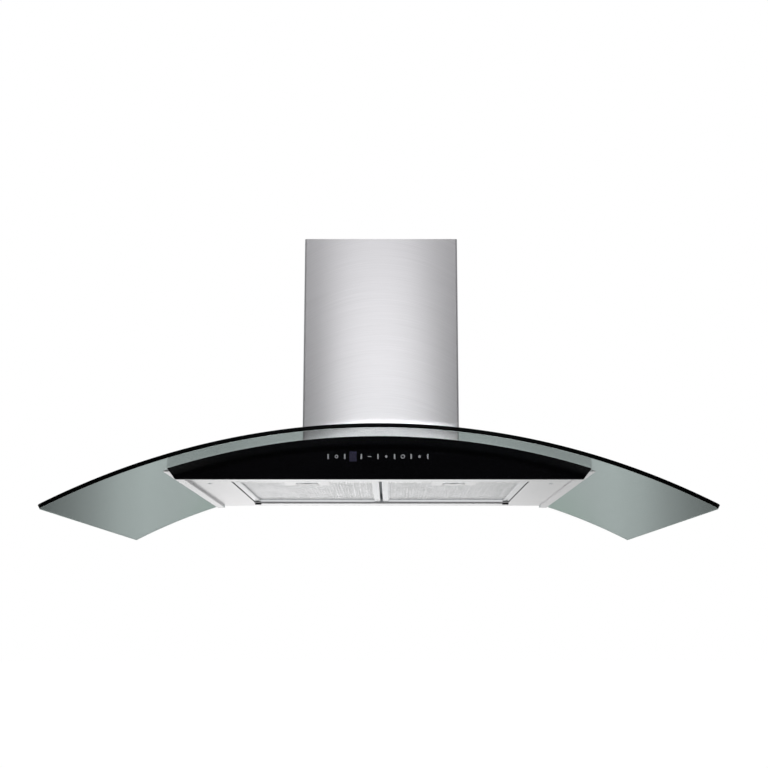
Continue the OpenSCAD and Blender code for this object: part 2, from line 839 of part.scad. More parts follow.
// Fan motor, standing inside the impeller
module motor() {
    end = 6;
    color([0.3, 0.3, 0.32]) translate([motor_x, fan_y, fan_z]) rotate([0, 90, 0]) difference() {
        union() {
            cylinder(d = motor_d - 10, h = motor_l);
            translate([0, 0, end]) cylinder(d = motor_d, h = motor_l - 2 * end);
        }
        translate([0, 0, -cut]) cylinder(d = shaft_d + 2 * running_clearance, h = motor_l + 2 * cut);
    }
}

// Three-armed bracket between the motor and the left side plate
module motor_bracket() {
    foot = 7.5;
    plate_x = -scroll_half_w - scroll_side_t;
    color("silver") translate([0, fan_y, fan_z]) {
        for (i = [0 : 2]) rotate([i * 120, 0, 0]) {
            block([motor_x - motor_arm_t, -motor_arm_w / 2, shaft_d],
                  [motor_x, motor_arm_w / 2, motor_arm_r]);
            block([motor_x - motor_arm_t, -motor_arm_w / 2, motor_arm_r - foot],
                  [plate_x, motor_arm_w / 2, motor_arm_r]);
        }
        translate([motor_x - motor_arm_t, 0, 0]) rotate([0, 90, 0]) difference() {
            cylinder(d = motor_d * 0.55, h = motor_arm_t);
            translate([0, 0, -cut]) cylinder(d = shaft_d + 2, h = motor_arm_t + 2 * cut);
        }
    }
}

// Run capacitor with its band, on the inside of the motor box cover
module capacitor() {
    y = box_front_y + box_t + capacitor_d / 2 + 1;
    color("whitesmoke") union() {
        translate([capacitor_x, y, capacitor_z]) cylinder(d = capacitor_d, h = capacitor_l);
        translate([capacitor_x, y, capacitor_z + capacitor_l / 2 - capacitor_band_w / 2])
            cylinder(d = capacitor_d + 1.6, h = capacitor_band_w);
        block([capacitor_x - 8, box_front_y + box_t, capacitor_z + capacitor_l / 2 - capacitor_band_w / 2],
              [capacitor_x + 8, y, capacitor_z + capacitor_l / 2 + capacitor_band_w / 2]);
    }
}

// Collar that takes the duct, with a flange and a ledge for the damper flaps
module outlet_collar() {
    outer_r = duct_d / 2;
    ledge_z = damper_z - damper_t / 2 - seat_gap - damper_ledge_t;
    color("dimgray") difference() {
        translate([0, collar_y, 0]) union() {
            difference() {
                union() {
                    translate([0, 0, box_top]) cylinder(r = outer_r + collar_flange_w, h = collar_flange_t);
                    translate([0, 0, box_top]) cylinder(r = outer_r, h = collar_h);
                }
                translate([0, 0, box_top - cut]) cylinder(r = collar_inner_r, h = collar_h + 2 * cut);
            }
            translate([0, 0, ledge_z]) difference() {
                cylinder(r = collar_inner_r + collar_t / 2, h = damper_ledge_t);
                translate([0, 0, -cut])
                    cylinder(r = collar_inner_r - damper_ledge_w, h = damper_ledge_t + 2 * cut);
            }
        }
        rod_x(-outer_r - cut, outer_r + cut, collar_y, damper_z, damper_rod_d);
        at_collar_screws() translate([0, 0, -cut])
            cylinder(d = collar_screw_d, h = collar_flange_t + 2 * cut);
    }
}

// Places of the four screws on the collar's flange
module at_collar_screws() {
    for (angle = [45, 135, 225, 315])
        translate([collar_screw_r * cos(angle), collar_y + collar_screw_r * sin(angle), box_top])
            children();
}

// Four screws of the duct collar
module collar_screws() {
    color("silver") at_collar_screws() translate([0, 0, collar_flange_t])
        screw_down(collar_screw_d, collar_screw_d * 1.8, 1.6, collar_flange_t);
}

// Rod across the collar that carries both damper flaps
module damper_rod() {
    reach = duct_d / 2 - collar_t / 3;
    color("silver") rod_x(-reach, reach, collar_y, damper_z, damper_rod_d);
}

// Half-round damper flap with two knuckles on the rod; side is -1 for the front flap
module damper_flap(side, knuckle_x) {
    flap_r = collar_inner_r - damper_edge_gap;
    start = damper_knuckle_d / 2 + damper_hinge_gap;
    color("darkgray") translate([0, collar_y, damper_z]) difference() {
        union() {
            intersection() {
                translate([0, 0, -damper_t / 2]) cylinder(r = flap_r, h = damper_t);
                union() {
                    block([-flap_r, side < 0 ? -flap_r : start, -damper_t],
                          [flap_r, side < 0 ? -start : flap_r, damper_t]);
                    for (x = knuckle_x)
                        block([x - damper_knuckle_l / 2, side < 0 ? -start - cut : 0, -damper_t],
                              [x + damper_knuckle_l / 2, side < 0 ? 0 : start + cut, damper_t]);
                }
            }
            for (x = knuckle_x)
                rod_x(x - damper_knuckle_l / 2, x + damper_knuckle_l / 2, 0, 0, damper_knuckle_d);
        }
        rod_x(-flap_r, flap_r, 0, 0, damper_rod_d + 2 * running_clearance);
    }
}

// Connection box on the motor box's top
module terminal_box() {
    wall = 2;
    color([0.9, 0.9, 0.88]) difference() {
        block([terminal_x, terminal_y, box_top],
              [terminal_x + terminal_w, terminal_y + terminal_l, box_top + terminal_h]);
        block([terminal_x + wall, terminal_y + wall, box_top + wall],
              [terminal_x + terminal_w - wall, terminal_y + terminal_l - wall,
               box_top + terminal_h + cut]);
        rod_x(terminal_x + terminal_w - wall - cut, terminal_x + terminal_w + cut,
              terminal_y + terminal_l / 2, box_top + terminal_h / 2, gland_d - 4);
    }
}

// Lid of the connection box
module terminal_box_lid() {
    z = box_top + terminal_h;
    color([0.9, 0.9, 0.88])
        block([terminal_x - 0.5, terminal_y - 0.5, z],
              [terminal_x + terminal_w + 0.5, terminal_y + terminal_l + 0.5, z + terminal_lid_t]);
}

// Gland in the side of the connection box, where the mains lead goes in
module cable_gland() {
    x = terminal_x + terminal_w;
    y = terminal_y + terminal_l / 2;
    z = box_top + terminal_h / 2;
    color("black") difference() {
        union() {
            rod_x(x - 2, x + gland_l, y, z, gland_d - 4);
            rod_x(x, x + gland_l * 0.7, y, z, gland_d);
        }
        rod_x(x - 3, x + gland_l + cut, y, z, gland_bore_d);
    }
}

// Bracket that hangs the motor box on the wall by four holes
module wall_bracket() {
    half = box_w / 2;
    color("darkgray") difference() {
        union() {
            block([-half - bracket_t, -bracket_t, -bracket_h / 2], [half + bracket_t, 0, bracket_h / 2]);
            for (side = [-1, 1])
                block([side < 0 ? -half - bracket_t : half, -bracket_arm_l, -bracket_h / 2],
                      [side < 0 ? -half : half + bracket_t, 0, bracket_h / 2]);
        }
        for (x = [-wall_hole_w / 2, wall_hole_w / 2], z = [-wall_hole_h / 2, wall_hole_h / 2])
            translate([x, cut, z]) rotate([90, 0, 0]) cylinder(d = wall_hole_d, h = bracket_t + 2 * cut);
        for (side = [-1, 1], z = [-bracket_screw_z, bracket_screw_z])
            rod_x(side * half - 2 * bracket_t, side * half + 2 * bracket_t, bracket_screw_y, z,
                  box_screw_d);
    }
}

// Four screws between the wall bracket and the motor box
module wall_bracket_screws() {
    color("silver") for (side = [-1, 1], z = [-bracket_screw_z, bracket_screw_z])
        translate([side * (box_w / 2 + bracket_t), bracket_screw_y, z]) rotate([0, side * 90, 0])
            screw_down(box_screw_d, box_screw_d * 2, bracket_head_h, bracket_t + box_t + 2);
}

// Chimney sheet bent to a channel that is open to the wall, with two rear lips
module chimney_outline(half_w, depth) {
    difference() {
        front_rounded(half_w, depth, chimney_bend_r);
        translate([0, -chimney_t])
            front_rounded(half_w - chimney_t, depth - 2 * chimney_t, chimney_bend_r - chimney_t);
        translate([-half_w + chimney_rear_lip, -chimney_t - cut])
            square([2 * (half_w - chimney_rear_lip), chimney_t + 2 * cut]);
    }
}

// Lower chimney cover, scribed to the glass
module chimney_lower() {
    color([0.75, 0.75, 0.76]) difference() {
        translate([0, 0, chimney_foot_z]) linear_extrude(chimney_top - chimney_foot_z)
            chimney_outline(chimney_w / 2, chimney_d);
        arch_core(glass_bend_r + chimney_seat, -chimney_d - cut, cut);
        at_chimney_screws() rotate([180, 0, 0]) translate([0, 0, -cut])
            cylinder(d = box_screw_d, h = chimney_t + 2 * cut);
    }
}

// Places of the two lower chimney screws, pointing out of the side faces
module at_chimney_screws() {
    for (side = [-1, 1])
        translate([side * chimney_w / 2, side_bracket_y + side_bracket_w / 2,
                   side_bracket_z - side_bracket_tab / 2])
            rotate([0, side * 90, 0]) children();
}

// Two brackets between the motor box and the lower chimney cover
module chimney_side_brackets() {
    inner = chimney_w / 2 - chimney_t;
    color("gray") for (side = [-1, 1]) mirror([side < 0 ? 1 : 0, 0, 0]) difference() {
        union() {
            block([box_w / 2, side_bracket_y, side_bracket_z],
                  [inner, side_bracket_y + side_bracket_w, side_bracket_z + side_bracket_t]);
            block([box_w / 2, side_bracket_y, side_bracket_z - side_bracket_tab],
                  [box_w / 2 + side_bracket_t, side_bracket_y + side_bracket_w, side_bracket_z]);
            block([inner - side_bracket_t, side_bracket_y, side_bracket_z - side_bracket_tab],
                  [inner, side_bracket_y + side_bracket_w, side_bracket_z]);
        }
        rod_x(inner - side_bracket_t - cut, inner + cut, side_bracket_y + side_bracket_w / 2,
              side_bracket_z - side_bracket_tab / 2, box_screw_d);
    }
}

// Two screws that hold the lower chimney cover
module chimney_screws() {
    color("silver") at_chimney_screws()
        screw_down(box_screw_d, box_screw_d * 1.8, 1.6, chimney_t + side_bracket_t + 3);
}

// Upper chimney cover, nested in the lower one
module chimney_upper() {
    color([0.72, 0.72, 0.73]) difference() {
        translate([0, -upper_step, upper_foot_z]) linear_extrude(chimney_top - upper_foot_z)
            chimney_outline(upper_half_w, upper_d);
        at_top_screws() translate([0, 0, -chimney_t - cut])
            cylinder(d = box_screw_d, h = chimney_t + 2 * cut);
    }
}

// Places of the four top bracket screws, on the outer faces of the upper chimney cover
module at_top_screws() {
    for (side = [-1, 1], z = [0.25, 0.75])
        translate([side * upper_half_w, -upper_step - chimney_t - top_bracket_arm / 2,
                   top_bracket_z + z * top_bracket_h])
            rotate([0, side * 90, 0]) children();
}

// Bracket that ties the upper chimney cover to the wall
module chimney_top_bracket() {
    half = upper_half_w - chimney_t;
    rear = -upper_step - chimney_t;
    color("gray") difference() {
        union() {
            block([-half, rear - top_bracket_t, top_bracket_z], [half, rear, top_bracket_z + top_bracket_h]);
            for (side = [-1, 1])
                block([side < 0 ? -half : half - top_bracket_t, rear - top_bracket_arm, top_bracket_z],
                      [side < 0 ? -half + top_bracket_t : half, rear, top_bracket_z + top_bracket_h]);
        }
        for (side = [-1, 1])
            translate([side * wall_hole_w / 2, cut, top_bracket_z + top_bracket_h / 2])
                rotate([90, 0, 0]) cylinder(d = wall_hole_d, h = 10);
        at_top_screws() translate([0, 0, -chimney_t - top_bracket_t - cut])
            cylinder(d = box_screw_d, h = chimney_t + top_bracket_t + 2 * cut);
    }
}

// Four screws of the top bracket, flush with the outer faces so that the covers slide
module top_bracket_screws() {
    color("silver") at_top_screws() translate([0, 0, -chimney_t - top_bracket_t])
        mirror([0, 0, 1])
            screw_down(box_screw_d, box_screw_d * 1.8, 1.6, chimney_t + top_bracket_t);
}

// Impeller with a middle disc, two end rings and a ring of leaning blades
module impeller() {
    outer_r = fan_d / 2;
    inner_r = outer_r - blade_depth;
    color([0.85, 0.85, 0.83]) translate([0, fan_y, fan_z]) difference() {
        union() {
            rod_x(0, fan_disc_t, 0, 0, fan_d - 1);
            rod_x(fan_hub_x, fan_hub_x + fan_hub_l, 0, 0, fan_hub_d);
            for (x = [-fan_w / 2, fan_w / 2 - fan_ring_t]) difference() {
                rod_x(x, x + fan_ring_t, 0, 0, fan_d);
                rod_x(x - cut, x + fan_ring_t + cut, 0, 0, 2 * inner_r);
            }
            for (i = [0 : fan_blades - 1]) rotate([i * 360 / fan_blades, 0, 0])
                translate([0, inner_r + blade_depth / 2 - 0.6, 0]) rotate([blade_lean, 0, 0])
                    block([-fan_w / 2 + cut, -blade_depth / 2 + 1.2, -blade_t / 2],
                          [fan_w / 2 - cut, blade_depth / 2 - 0.4, blade_t / 2]);
        }
        rod_x(fan_hub_x - cut, fan_hub_x + fan_hub_l + cut, 0, 0, shaft_d);
    }
}

// Shaft of the motor, through the impeller's hub
module motor_shaft() {
    color("silver") rod_x(shaft_x, shaft_x + shaft_l, fan_y, fan_z, shaft_d);
}

// Metal border of one filter, with its two pivot bores and the slot of the latch tongue
module filter_frame(side) {
    x0 = filter_gap / 2;
    x1 = x0 + filter_w;
    bore_d = pivot_d + 2 * running_clearance;
    color("silver") mirror([side < 0 ? 1 : 0, 0, 0]) difference() {
        block([x0, filter_front_y, filter_z], [x1, filter_rear_y, filter_top_z]);
        block([x0 + filter_border, mesh_front_y, filter_z - cut],
              [x1 - filter_border, mesh_rear_y, filter_top_z + cut]);
        rod_x(x0 - cut, x0 + pivot_bore_l, pivot_y, pivot_z, bore_d);
        rod_x(x1 - pivot_bore_l, x1 + cut, pivot_y, pivot_z, bore_d);
        block([filter_mid_x - latch_tongue_w / 2 - latch_play, filter_front_y - cut,
               latch_tongue_z - latch_play],
              [filter_mid_x + latch_tongue_w / 2 + latch_play, mesh_front_y + cut,
               latch_tongue_z + latch_tongue_t + latch_play]);
    }
}

// Mesh pack of one filter, with the pocket that the latch slides in
module filter_mesh(side) {
    x0 = filter_gap / 2 + filter_border;
    x1 = filter_gap / 2 + filter_w - filter_border;
    pocket = latch_cup_w / 2 + 1;
    color("darkgray") mirror([side < 0 ? 1 : 0, 0, 0]) difference() {
        block([x0, mesh_front_y, mesh_z], [x1, mesh_rear_y, mesh_z + mesh_t]);
        block([filter_mid_x - pocket, mesh_front_y - cut, mesh_z - cut],
              [filter_mid_x + pocket, latch_front_y + latch_cup_l + latch_travel + 1,
               mesh_z + mesh_t + cut]);
    }
}

// Plate round the latch of one filter
module filter_latch_plate(side) {
    window = latch_cup_w / 2 + latch_play;
    color("gainsboro") mirror([side < 0 ? 1 : 0, 0, 0]) difference() {
        block([filter_mid_x - latch_plate_w / 2, mesh_front_y, mesh_z - latch_plate_t],
              [filter_mid_x + latch_plate_w / 2, mesh_front_y + latch_plate_l, mesh_z]);
        block([filter_mid_x - window, latch_front_y - latch_play, mesh_z - latch_plate_t - cut],
              [filter_mid_x + window, latch_front_y + latch_cup_l + latch_travel + latch_play,
               mesh_z + cut]);
    }
}

// Sliding latch of one filter: a finger cup, open below, with a tongue at its front
module filter_latch(side) {
    half = latch_cup_w / 2;
    tongue_front = opening_front_y + seat_gap;
    color("gray") mirror([side < 0 ? 1 : 0, 0, 0]) difference() {
        union() {
            block([filter_mid_x - half, latch_front_y, latch_z],
                  [filter_mid_x + half, latch_front_y + latch_cup_l, latch_z + latch_cup_h]);
            block([filter_mid_x - latch_tongue_w / 2, tongue_front, latch_tongue_z],
                  [filter_mid_x + latch_tongue_w / 2, latch_front_y + cut,
                   latch_tongue_z + latch_tongue_t]);
        }
        block([filter_mid_x - half + latch_cup_wall, latch_front_y + latch_cup_wall, latch_z - cut],
              [filter_mid_x + half - latch_cup_wall, latch_front_y + latch_cup_l - latch_cup_wall,
               latch_z + latch_cup_h - latch_roof_t]);
    }
}

glass_canopy();
glass_tape();
glass_screws();
glass_washers();
front_panel();
front_panel_carrier();
touch_symbols();
display_window();
touch_board();
touch_board_holder();
body_top();
underside_panel();
body_front_wall();
body_rear_wall();
centre_stiffener();
filter_pivot_pins();
power_box();
lamp_driver();
lamp_bezels();
lamp_lens(-1);  // lamp_lens_left
lamp_lens(1);  // lamp_lens_right
lamp_can(-1);  // lamp_can_left
lamp_can(1);  // lamp_can_right
motor_box();
motor_box_cover();
motor_box_screws();
scroll_wrap();
scroll_side(-1);  // scroll_side_left
scroll_side(1);  // scroll_side_right
inlet_ring(-1);  // inlet_ring_left
inlet_ring(1);  // inlet_ring_right
motor();
motor_bracket();
capacitor();
outlet_collar();
collar_screws();
damper_rod();
terminal_box();
terminal_box_lid();
cable_gland();
wall_bracket();
wall_bracket_screws();
chimney_lower();
chimney_side_brackets();
chimney_screws();
chimney_upper();
chimney_top_bracket();
top_bracket_screws();
impeller();
motor_shaft();
damper_flap(-1, [-50, 50]);  // damper_flap_front
damper_flap(1, [-25, 25]);  // damper_flap_rear
filter_frame(-1);  // filter_left_frame
filter_mesh(-1);  // filter_left_mesh
filter_latch_plate(-1);  // filter_left_latch_plate
filter_latch(-1);  // filter_left_latch
filter_frame(1);  // filter_right_frame
filter_mesh(1);  // filter_right_mesh
filter_latch_plate(1);  // filter_right_latch_plate
filter_latch(1);  // filter_right_latch
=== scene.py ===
import json
import math

import bmesh
import bpy
from mathutils import Matrix, Vector, noise


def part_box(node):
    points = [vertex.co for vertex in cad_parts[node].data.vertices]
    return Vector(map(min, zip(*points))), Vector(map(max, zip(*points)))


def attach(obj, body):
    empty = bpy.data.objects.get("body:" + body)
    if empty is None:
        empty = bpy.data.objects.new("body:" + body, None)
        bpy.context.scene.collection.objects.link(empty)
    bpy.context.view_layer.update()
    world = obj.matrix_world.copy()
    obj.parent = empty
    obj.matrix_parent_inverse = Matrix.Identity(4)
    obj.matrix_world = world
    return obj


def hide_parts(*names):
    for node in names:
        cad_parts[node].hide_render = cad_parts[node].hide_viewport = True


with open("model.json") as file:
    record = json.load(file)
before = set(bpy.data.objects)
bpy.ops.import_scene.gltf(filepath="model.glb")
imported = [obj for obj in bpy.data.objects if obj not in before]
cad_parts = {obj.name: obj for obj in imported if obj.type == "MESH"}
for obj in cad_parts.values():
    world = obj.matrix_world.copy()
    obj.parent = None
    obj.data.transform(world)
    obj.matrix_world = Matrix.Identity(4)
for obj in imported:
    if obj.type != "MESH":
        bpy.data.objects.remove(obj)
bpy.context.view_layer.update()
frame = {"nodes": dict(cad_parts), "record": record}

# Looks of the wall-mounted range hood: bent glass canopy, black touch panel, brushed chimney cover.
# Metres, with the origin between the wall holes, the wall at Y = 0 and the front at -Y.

MM = 0.001

# Angle in degrees below which a CAD node's faces are shaded as one smooth surface
NODE_SMOOTH = 25

# Sizes that the frame's boxes don't give

# Bent glass: thickness, corners, ground chamfer, width of its flat strips, holes, rear cut-out
GLASS_T = 6 * MM
GLASS_CORNER_R = 5 * MM
GLASS_CORNER_STEPS = 6
GLASS_ARRIS = 1.1 * MM
GLASS_STRIP = 8 * MM
GLASS_HOLE_R = 4.5 * MM
NOTCH_HALF_W = 106 * MM
NOTCH_FRONT = -232 * MM

# Upright black glass panel under it
PANEL_BOTTOM_W = 564 * MM
PANEL_TOP_GAP = 0.4 * MM
PANEL_EDGE_R = 0.7 * MM
PANEL_STEPS = 120

# Underside: sheet, opening for the filters, lamp holes, screws in their recesses
OPENING = ((-226 * MM, -308 * MM), (226 * MM, -49 * MM))
SHEET_T = 0.8 * MM
FOLD_R = 0.35 * MM
LIP_EDGE_R = 0.25 * MM
LAMP_GAP = 0.5 * MM
RECESS_GAP = 0.8 * MM
UNDERSIDE_SCREW = (262 * MM, -286 * MM)
UNDERSIDE_SCREW_R = 3 * MM
UNDERSIDE_SCREW_H = 1.4 * MM

# Side rails: inner and outer edge, underside, parts of the arched top edge
RAIL_X = (287.4 * MM, 300.4 * MM)
RAIL_Z = -155.7 * MM
RAIL_STEPS = 6

# Black rubber strip behind the opening, painted shadow of the gap there, and its two feet
REST_T = 2 * MM
REST_H = 1.5 * MM
REST_EDGE_R = 0.4 * MM
FOOT_W = 11 * MM
FOOT_L = 6 * MM
FOOT_H = 3 * MM
FOOT_CORNER_R = 1.5 * MM
FOOT_EDGE_R = 0.5 * MM

# Filter frames: width and rounding of the bars, slant of the rear bar, gap at the mitres
FILTER_BORDER = 11 * MM
FILTER_EDGE_R = 1.2 * MM
FILTER_SLANT = 5 * MM
MITRE_GAP = 0.15 * MM

# Latches: plate with its window, sliding finger cup with its mouth and tongue
PLATE_CORNER_R = 4 * MM
PLATE_EDGE_R = 0.3 * MM
WINDOW_SLOPE = 1.5 * MM
LATCH_TRAVEL = 6 * MM
CUP_L = 21 * MM
CUP_MOUTH = (8 * MM, 4.5 * MM)
CUP_ROOF = 1.2 * MM
CUP_PLAY = 0.3 * MM
CUP_CORNER_R = 4 * MM
CUP_EDGE_R = 0.5 * MM
TONGUE_W = 24 * MM
TONGUE_T = 2.4 * MM
TONGUE_RISE = 2 * MM
TONGUE_EDGE_R = 0.4 * MM
POCKET_GAP = 1 * MM

# Mesh of the filters, as stretched sheet: diamond length and width, strand width and thickness,
# height by which the strands weave
DIAMOND = (10 * MM, 6.2 * MM)
STRAND = (1.2 * MM, 0.12 * MM)
WAVE = 0.04 * MM
MESH_LAYERS = 2

# Crumpled inner layers of the filters: grid, length of the crumples along X and Y, height over
# the mesh's lower face, height of the crumples, thickness, slice of the noise
CORE_STEP = 3 * MM
CORE_WAVE = (9 * MM, 40 * MM)
CORE_DEPTH = 0.4 * MM
CORE_RELIEF = 0.1 * MM
CORE_T = 0.3 * MM
CORE_SLICE = 3.7

# Camera
CAMERA_PLACE = (0.0149, -1.7545, -0.3608)
CAMERA_TILT = math.radians(8.544)
CAMERA_LENS = 45.21
CAMERA_SENSOR = 36
CAMERA_SHIFT = (-0.0080, 0.12)

# Floor: place, size, tone of the paper, glow to the camera and the share of it
FLOOR_Z = -1.25
FLOOR_SIZE = 40.0
FLOOR_TONE = 0.85
FLOOR_GLOW = 1.22
FLOOR_GLOW_SHARE = 0.75

# Lamps: Y of the two softboxes and the spots; the row of spots for the chimney's foot, which
# are stronger towards its ends
LAMP_Y = -1.4
SPOTS = 5
SPOT_STEP = 0.11
SPOT_MIDDLE_X = 0.02
SPOT_Z = 0.2
SPOT_AIM = (0.012, -0.25, -0.402)
SPOT_ANGLE = math.radians(30.7)
SPOT_POWER = 5.5
SPOT_POWER_STEP = 2


def srgb(code):
    """Linear colour of an sRGB hex code."""
    channels = [int(code[i:i + 2], 16) / 255 for i in (1, 3, 5)]
    linear = [c / 12.92 if c <= 0.04045 else ((c + 0.055) / 1.055) ** 2.4 for c in channels]
    return (*linear, 1.0)


def add(tree, kind, inputs=(), stops=(), **settings):
    """Adds a shader node; each input is a value, a node or one output of a node."""
    made = tree.nodes.new("ShaderNode" + kind)
    for name, value in settings.items():
        setattr(made, name, value)
    for name, value in dict(inputs).items():
        if isinstance(value, bpy.types.Node):
            value = value.outputs[0]
        if isinstance(value, bpy.types.NodeSocket):
            tree.links.new(value, made.inputs[name])
        else:
            made.inputs[name].default_value = value
    for i, (place, colour) in enumerate(stops):
        element = made.color_ramp.elements[i] if i < 2 else made.color_ramp.elements.new(place)
        element.position = place
        element.color = colour
    return made


def grey(level):
    """Neutral linear colour."""
    return (level, level, level, 1.0)


def tinted(level):
    """Grey-green linear colour of the studio wall."""
    return (0.89 * level, level, 0.98 * level, 1.0)


def greener(level):
    """Stronger green-grey linear colour."""
    return (0.78 * level, level, 0.88 * level, 1.0)


def rosy(level):
    """Faintly rosy linear colour of the light on the underside."""
    return (level, 0.975 * level, 0.985 * level, 1.0)


def material(name, fill):
    """Material whose surface is the shader that fill(tree) returns."""
    made = bpy.data.materials.new(name)
    made.use_nodes = True
    made.node_tree.nodes.clear()
    add(made.node_tree, "OutputMaterial", {"Surface": fill(made.node_tree)})
    return made


# ---- Camera ----

def make_camera():
    """Camera at the photo's place: a little below the hood, tilted up, with a lens shift."""
    lens = bpy.data.cameras.new("camera")
    lens.lens = CAMERA_LENS
    lens.sensor_width = CAMERA_SENSOR
    lens.shift_x, lens.shift_y = CAMERA_SHIFT
    made = bpy.data.objects.new("camera", lens)
    made.location = CAMERA_PLACE
    made.rotation_euler = (math.pi / 2 + CAMERA_TILT, 0, 0)
    bpy.context.collection.objects.link(made)
    bpy.context.scene.camera = made
    bpy.context.scene.view_settings.view_transform = "Standard"


# ---- Materials ----

def grain(tree, lengths, detail=3.0, coordinates=None):
    """Noise with grains of the given lengths along X, Y and Z, in metres."""
    if coordinates is None:
        coordinates = add(tree, "TexCoord").outputs["Object"]
    scale = [1 / length for length in lengths]
    laid = add(tree, "Mapping", {"Vector": coordinates, "Scale": scale})
    return add(tree, "TexNoise", {"Vector": laid, "Scale": 1.0, "Detail": detail})


def worn(tree, colour, lengths, shade=0.08, roughness=(0.3, 0.4), bump=0.05, depth=0.1 * MM,
         detail=3.0, coordinates=None, **sockets):
    """Principled surface whose tone, gloss and relief follow one grain."""
    fine = grain(tree, lengths, detail, coordinates)
    dark = [c * (1 - shade) for c in colour[:3]] + [1.0]
    light = [min(1.0, c * (1 + shade)) for c in colour[:3]] + [1.0]
    tone = add(tree, "ValToRGB", {"Fac": fine}, stops=((0.3, dark), (0.7, light)))
    gloss = add(tree, "MapRange", {"Value": fine, "To Min": roughness[0], "To Max": roughness[1]})
    relief = add(tree, "Bump", {"Height": fine, "Strength": bump, "Distance": depth})
    inputs = {"Base Color": tone, "Roughness": gloss, "Normal": relief}
    inputs.update({name.replace("_", " "): value for name, value in sockets.items()})
    return add(tree, "BsdfPrincipled", inputs)


def tinted_glass(tree):
    """Toughened float glass, clear with a breath of green: sharp reflections, strong at a flat
    angle. Rays to lamps go straight through, so that the glass throws only a pale shadow."""
    body = add(tree, "BsdfPrincipled", {
        "Base Color": srgb("#F7FAF9"), "Roughness": 0.0, "IOR": 1.5, "Transmission Weight": 1.0})
    clear = add(tree, "BsdfTransparent", {"Color": srgb("#EDF8F6")})
    shadow = add(tree, "LightPath").outputs["Is Shadow Ray"]
    return add(tree, "MixShader", {0: shadow, 1: body, 2: clear})


def ground_edge(tree):
    """Ground glass edge: frosted and greener than the face, since one looks along the sheet."""
    return worn(tree, srgb("#D6E2DE"), (1 * MM,) * 3, shade=0.06, roughness=(0.25, 0.4),
                IOR=1.5, Transmission_Weight=0.1)


def painted_shade_edge(tree):
    """Polished front edge of the tinted glass, coloured black as painted shade: the dark look of
    the clear edge seen from below.
    """
    return worn(tree, srgb("#050606"), (3 * MM,) * 3, shade=0.2, roughness=(0.02, 0.05), bump=0.0,
                IOR=1.5)


def black_glass(tree):
    """Float glass painted black on its back: deep black, mirror-like, slight wipe marks."""
    return worn(tree, srgb("#040405"), (60 * MM, 60 * MM, 25 * MM), shade=0.15,
                roughness=(0.01, 0.03), bump=0.0, IOR=1.5)


def white_print(tree):
    """Screen print in white enamel, unlit and so seen as grey: flat, slightly grainy."""
    return worn(tree, srgb("#585A5E"), (0.5 * MM,) * 3, shade=0.06, roughness=(0.5, 0.6))


def display_film(tree):
    """Display behind smoked film: dim purple-grey with a glossy face and faint columns."""
    return worn(tree, srgb("#201F2B"), (1.2 * MM, 1 * MM, 6 * MM), shade=0.25,
                roughness=(0.04, 0.08), bump=0.0, IOR=1.4)


# Radius of the arcs in which the chimney cover is brushed
BRUSH_ARC_R = 196 * MM


def brushed_stainless(tree):
    """Stainless steel, belt-ground in shallow arcs: light spreads upright, faint curved streaks.
    Real scratches are about 0.1 mm wide; they are drawn at 0.7 mm so that they show."""
    place = add(tree, "SeparateXYZ", {"Vector": add(tree, "TexCoord").outputs["Object"]})
    across = place.outputs["X"]
    square = add(tree, "Math", {0: across, 1: across}, operation="MULTIPLY")
    drop = add(tree, "Math", {0: square, 1: 1 / (2 * BRUSH_ARC_R)}, operation="MULTIPLY")
    level = add(tree, "Math", {0: place.outputs["Z"], 1: drop}, operation="ADD")
    along = add(tree, "CombineXYZ", {"X": across, "Y": place.outputs["Y"], "Z": level})
    return worn(tree, srgb("#CBCACD"), (90 * MM, 90 * MM, 0.7 * MM), shade=0.05,
                roughness=(0.28, 0.34), bump=0.04, depth=0.05 * MM, detail=4.0,
                coordinates=along.outputs[0], Metallic=1.0, Anisotropic=0.9,
                Anisotropic_Rotation=0.25)


def satin_steel(tree):
    """Stainless steel sheet, brushed left to right: soft sheen with fine straight lines.
    The lines are drawn 0.6 mm wide, coarser than real ones, so that they show."""
    return worn(tree, srgb("#E8E7E8"), (70 * MM, 0.6 * MM, 0.6 * MM), shade=0.03,
                roughness=(0.20, 0.28), bump=0.03, depth=0.05 * MM, Metallic=1.0)


def zinc_sheet(tree):
    """Hot-dip galvanised steel sheet: grey, with large crystal flakes that differ in gloss."""
    place = add(tree, "TexCoord").outputs["Object"]
    flakes = add(tree, "TexVoronoi", {"Vector": place, "Scale": 1 / (14 * MM)})
    shades = add(tree, "SeparateColor", {"Color": flakes.outputs["Color"]})
    tone = add(tree, "ValToRGB", {"Fac": shades.outputs[0]},
               stops=((0.0, srgb("#9BA0A4")), (1.0, srgb("#B9BDC0"))))
    gloss = add(tree, "MapRange", {"Value": shades.outputs[1], "To Min": 0.35, "To Max": 0.5})
    return add(tree, "BsdfPrincipled", {"Base Color": tone, "Roughness": gloss, "Metallic": 1.0})


def filter_aluminium(tree):
    """Extruded aluminium, mill finish: pale metal with faint drawing lines along the bars."""
    return worn(tree, srgb("#E0E1E3"), (40 * MM, 1.2 * MM, 1.2 * MM), shade=0.04,
                roughness=(0.18, 0.28), bump=0.03, depth=0.05 * MM, Metallic=1.0)


def mesh_aluminium(tree):
    """Stretched aluminium mesh: bright strands with small bends and dull cut edges."""
    return worn(tree, srgb("#E6E7E8"), (2.5 * MM,) * 3, shade=0.06, roughness=(0.12, 0.25),
                bump=0.05, Metallic=1.0)


def plated_steel(tree):
    """Zinc-plated screws: bright bluish metal, lightly mottled."""
    return worn(tree, srgb("#C3C7CB"), (1.5 * MM,) * 3, shade=0.06, roughness=(0.2, 0.35),
                Metallic=1.0)


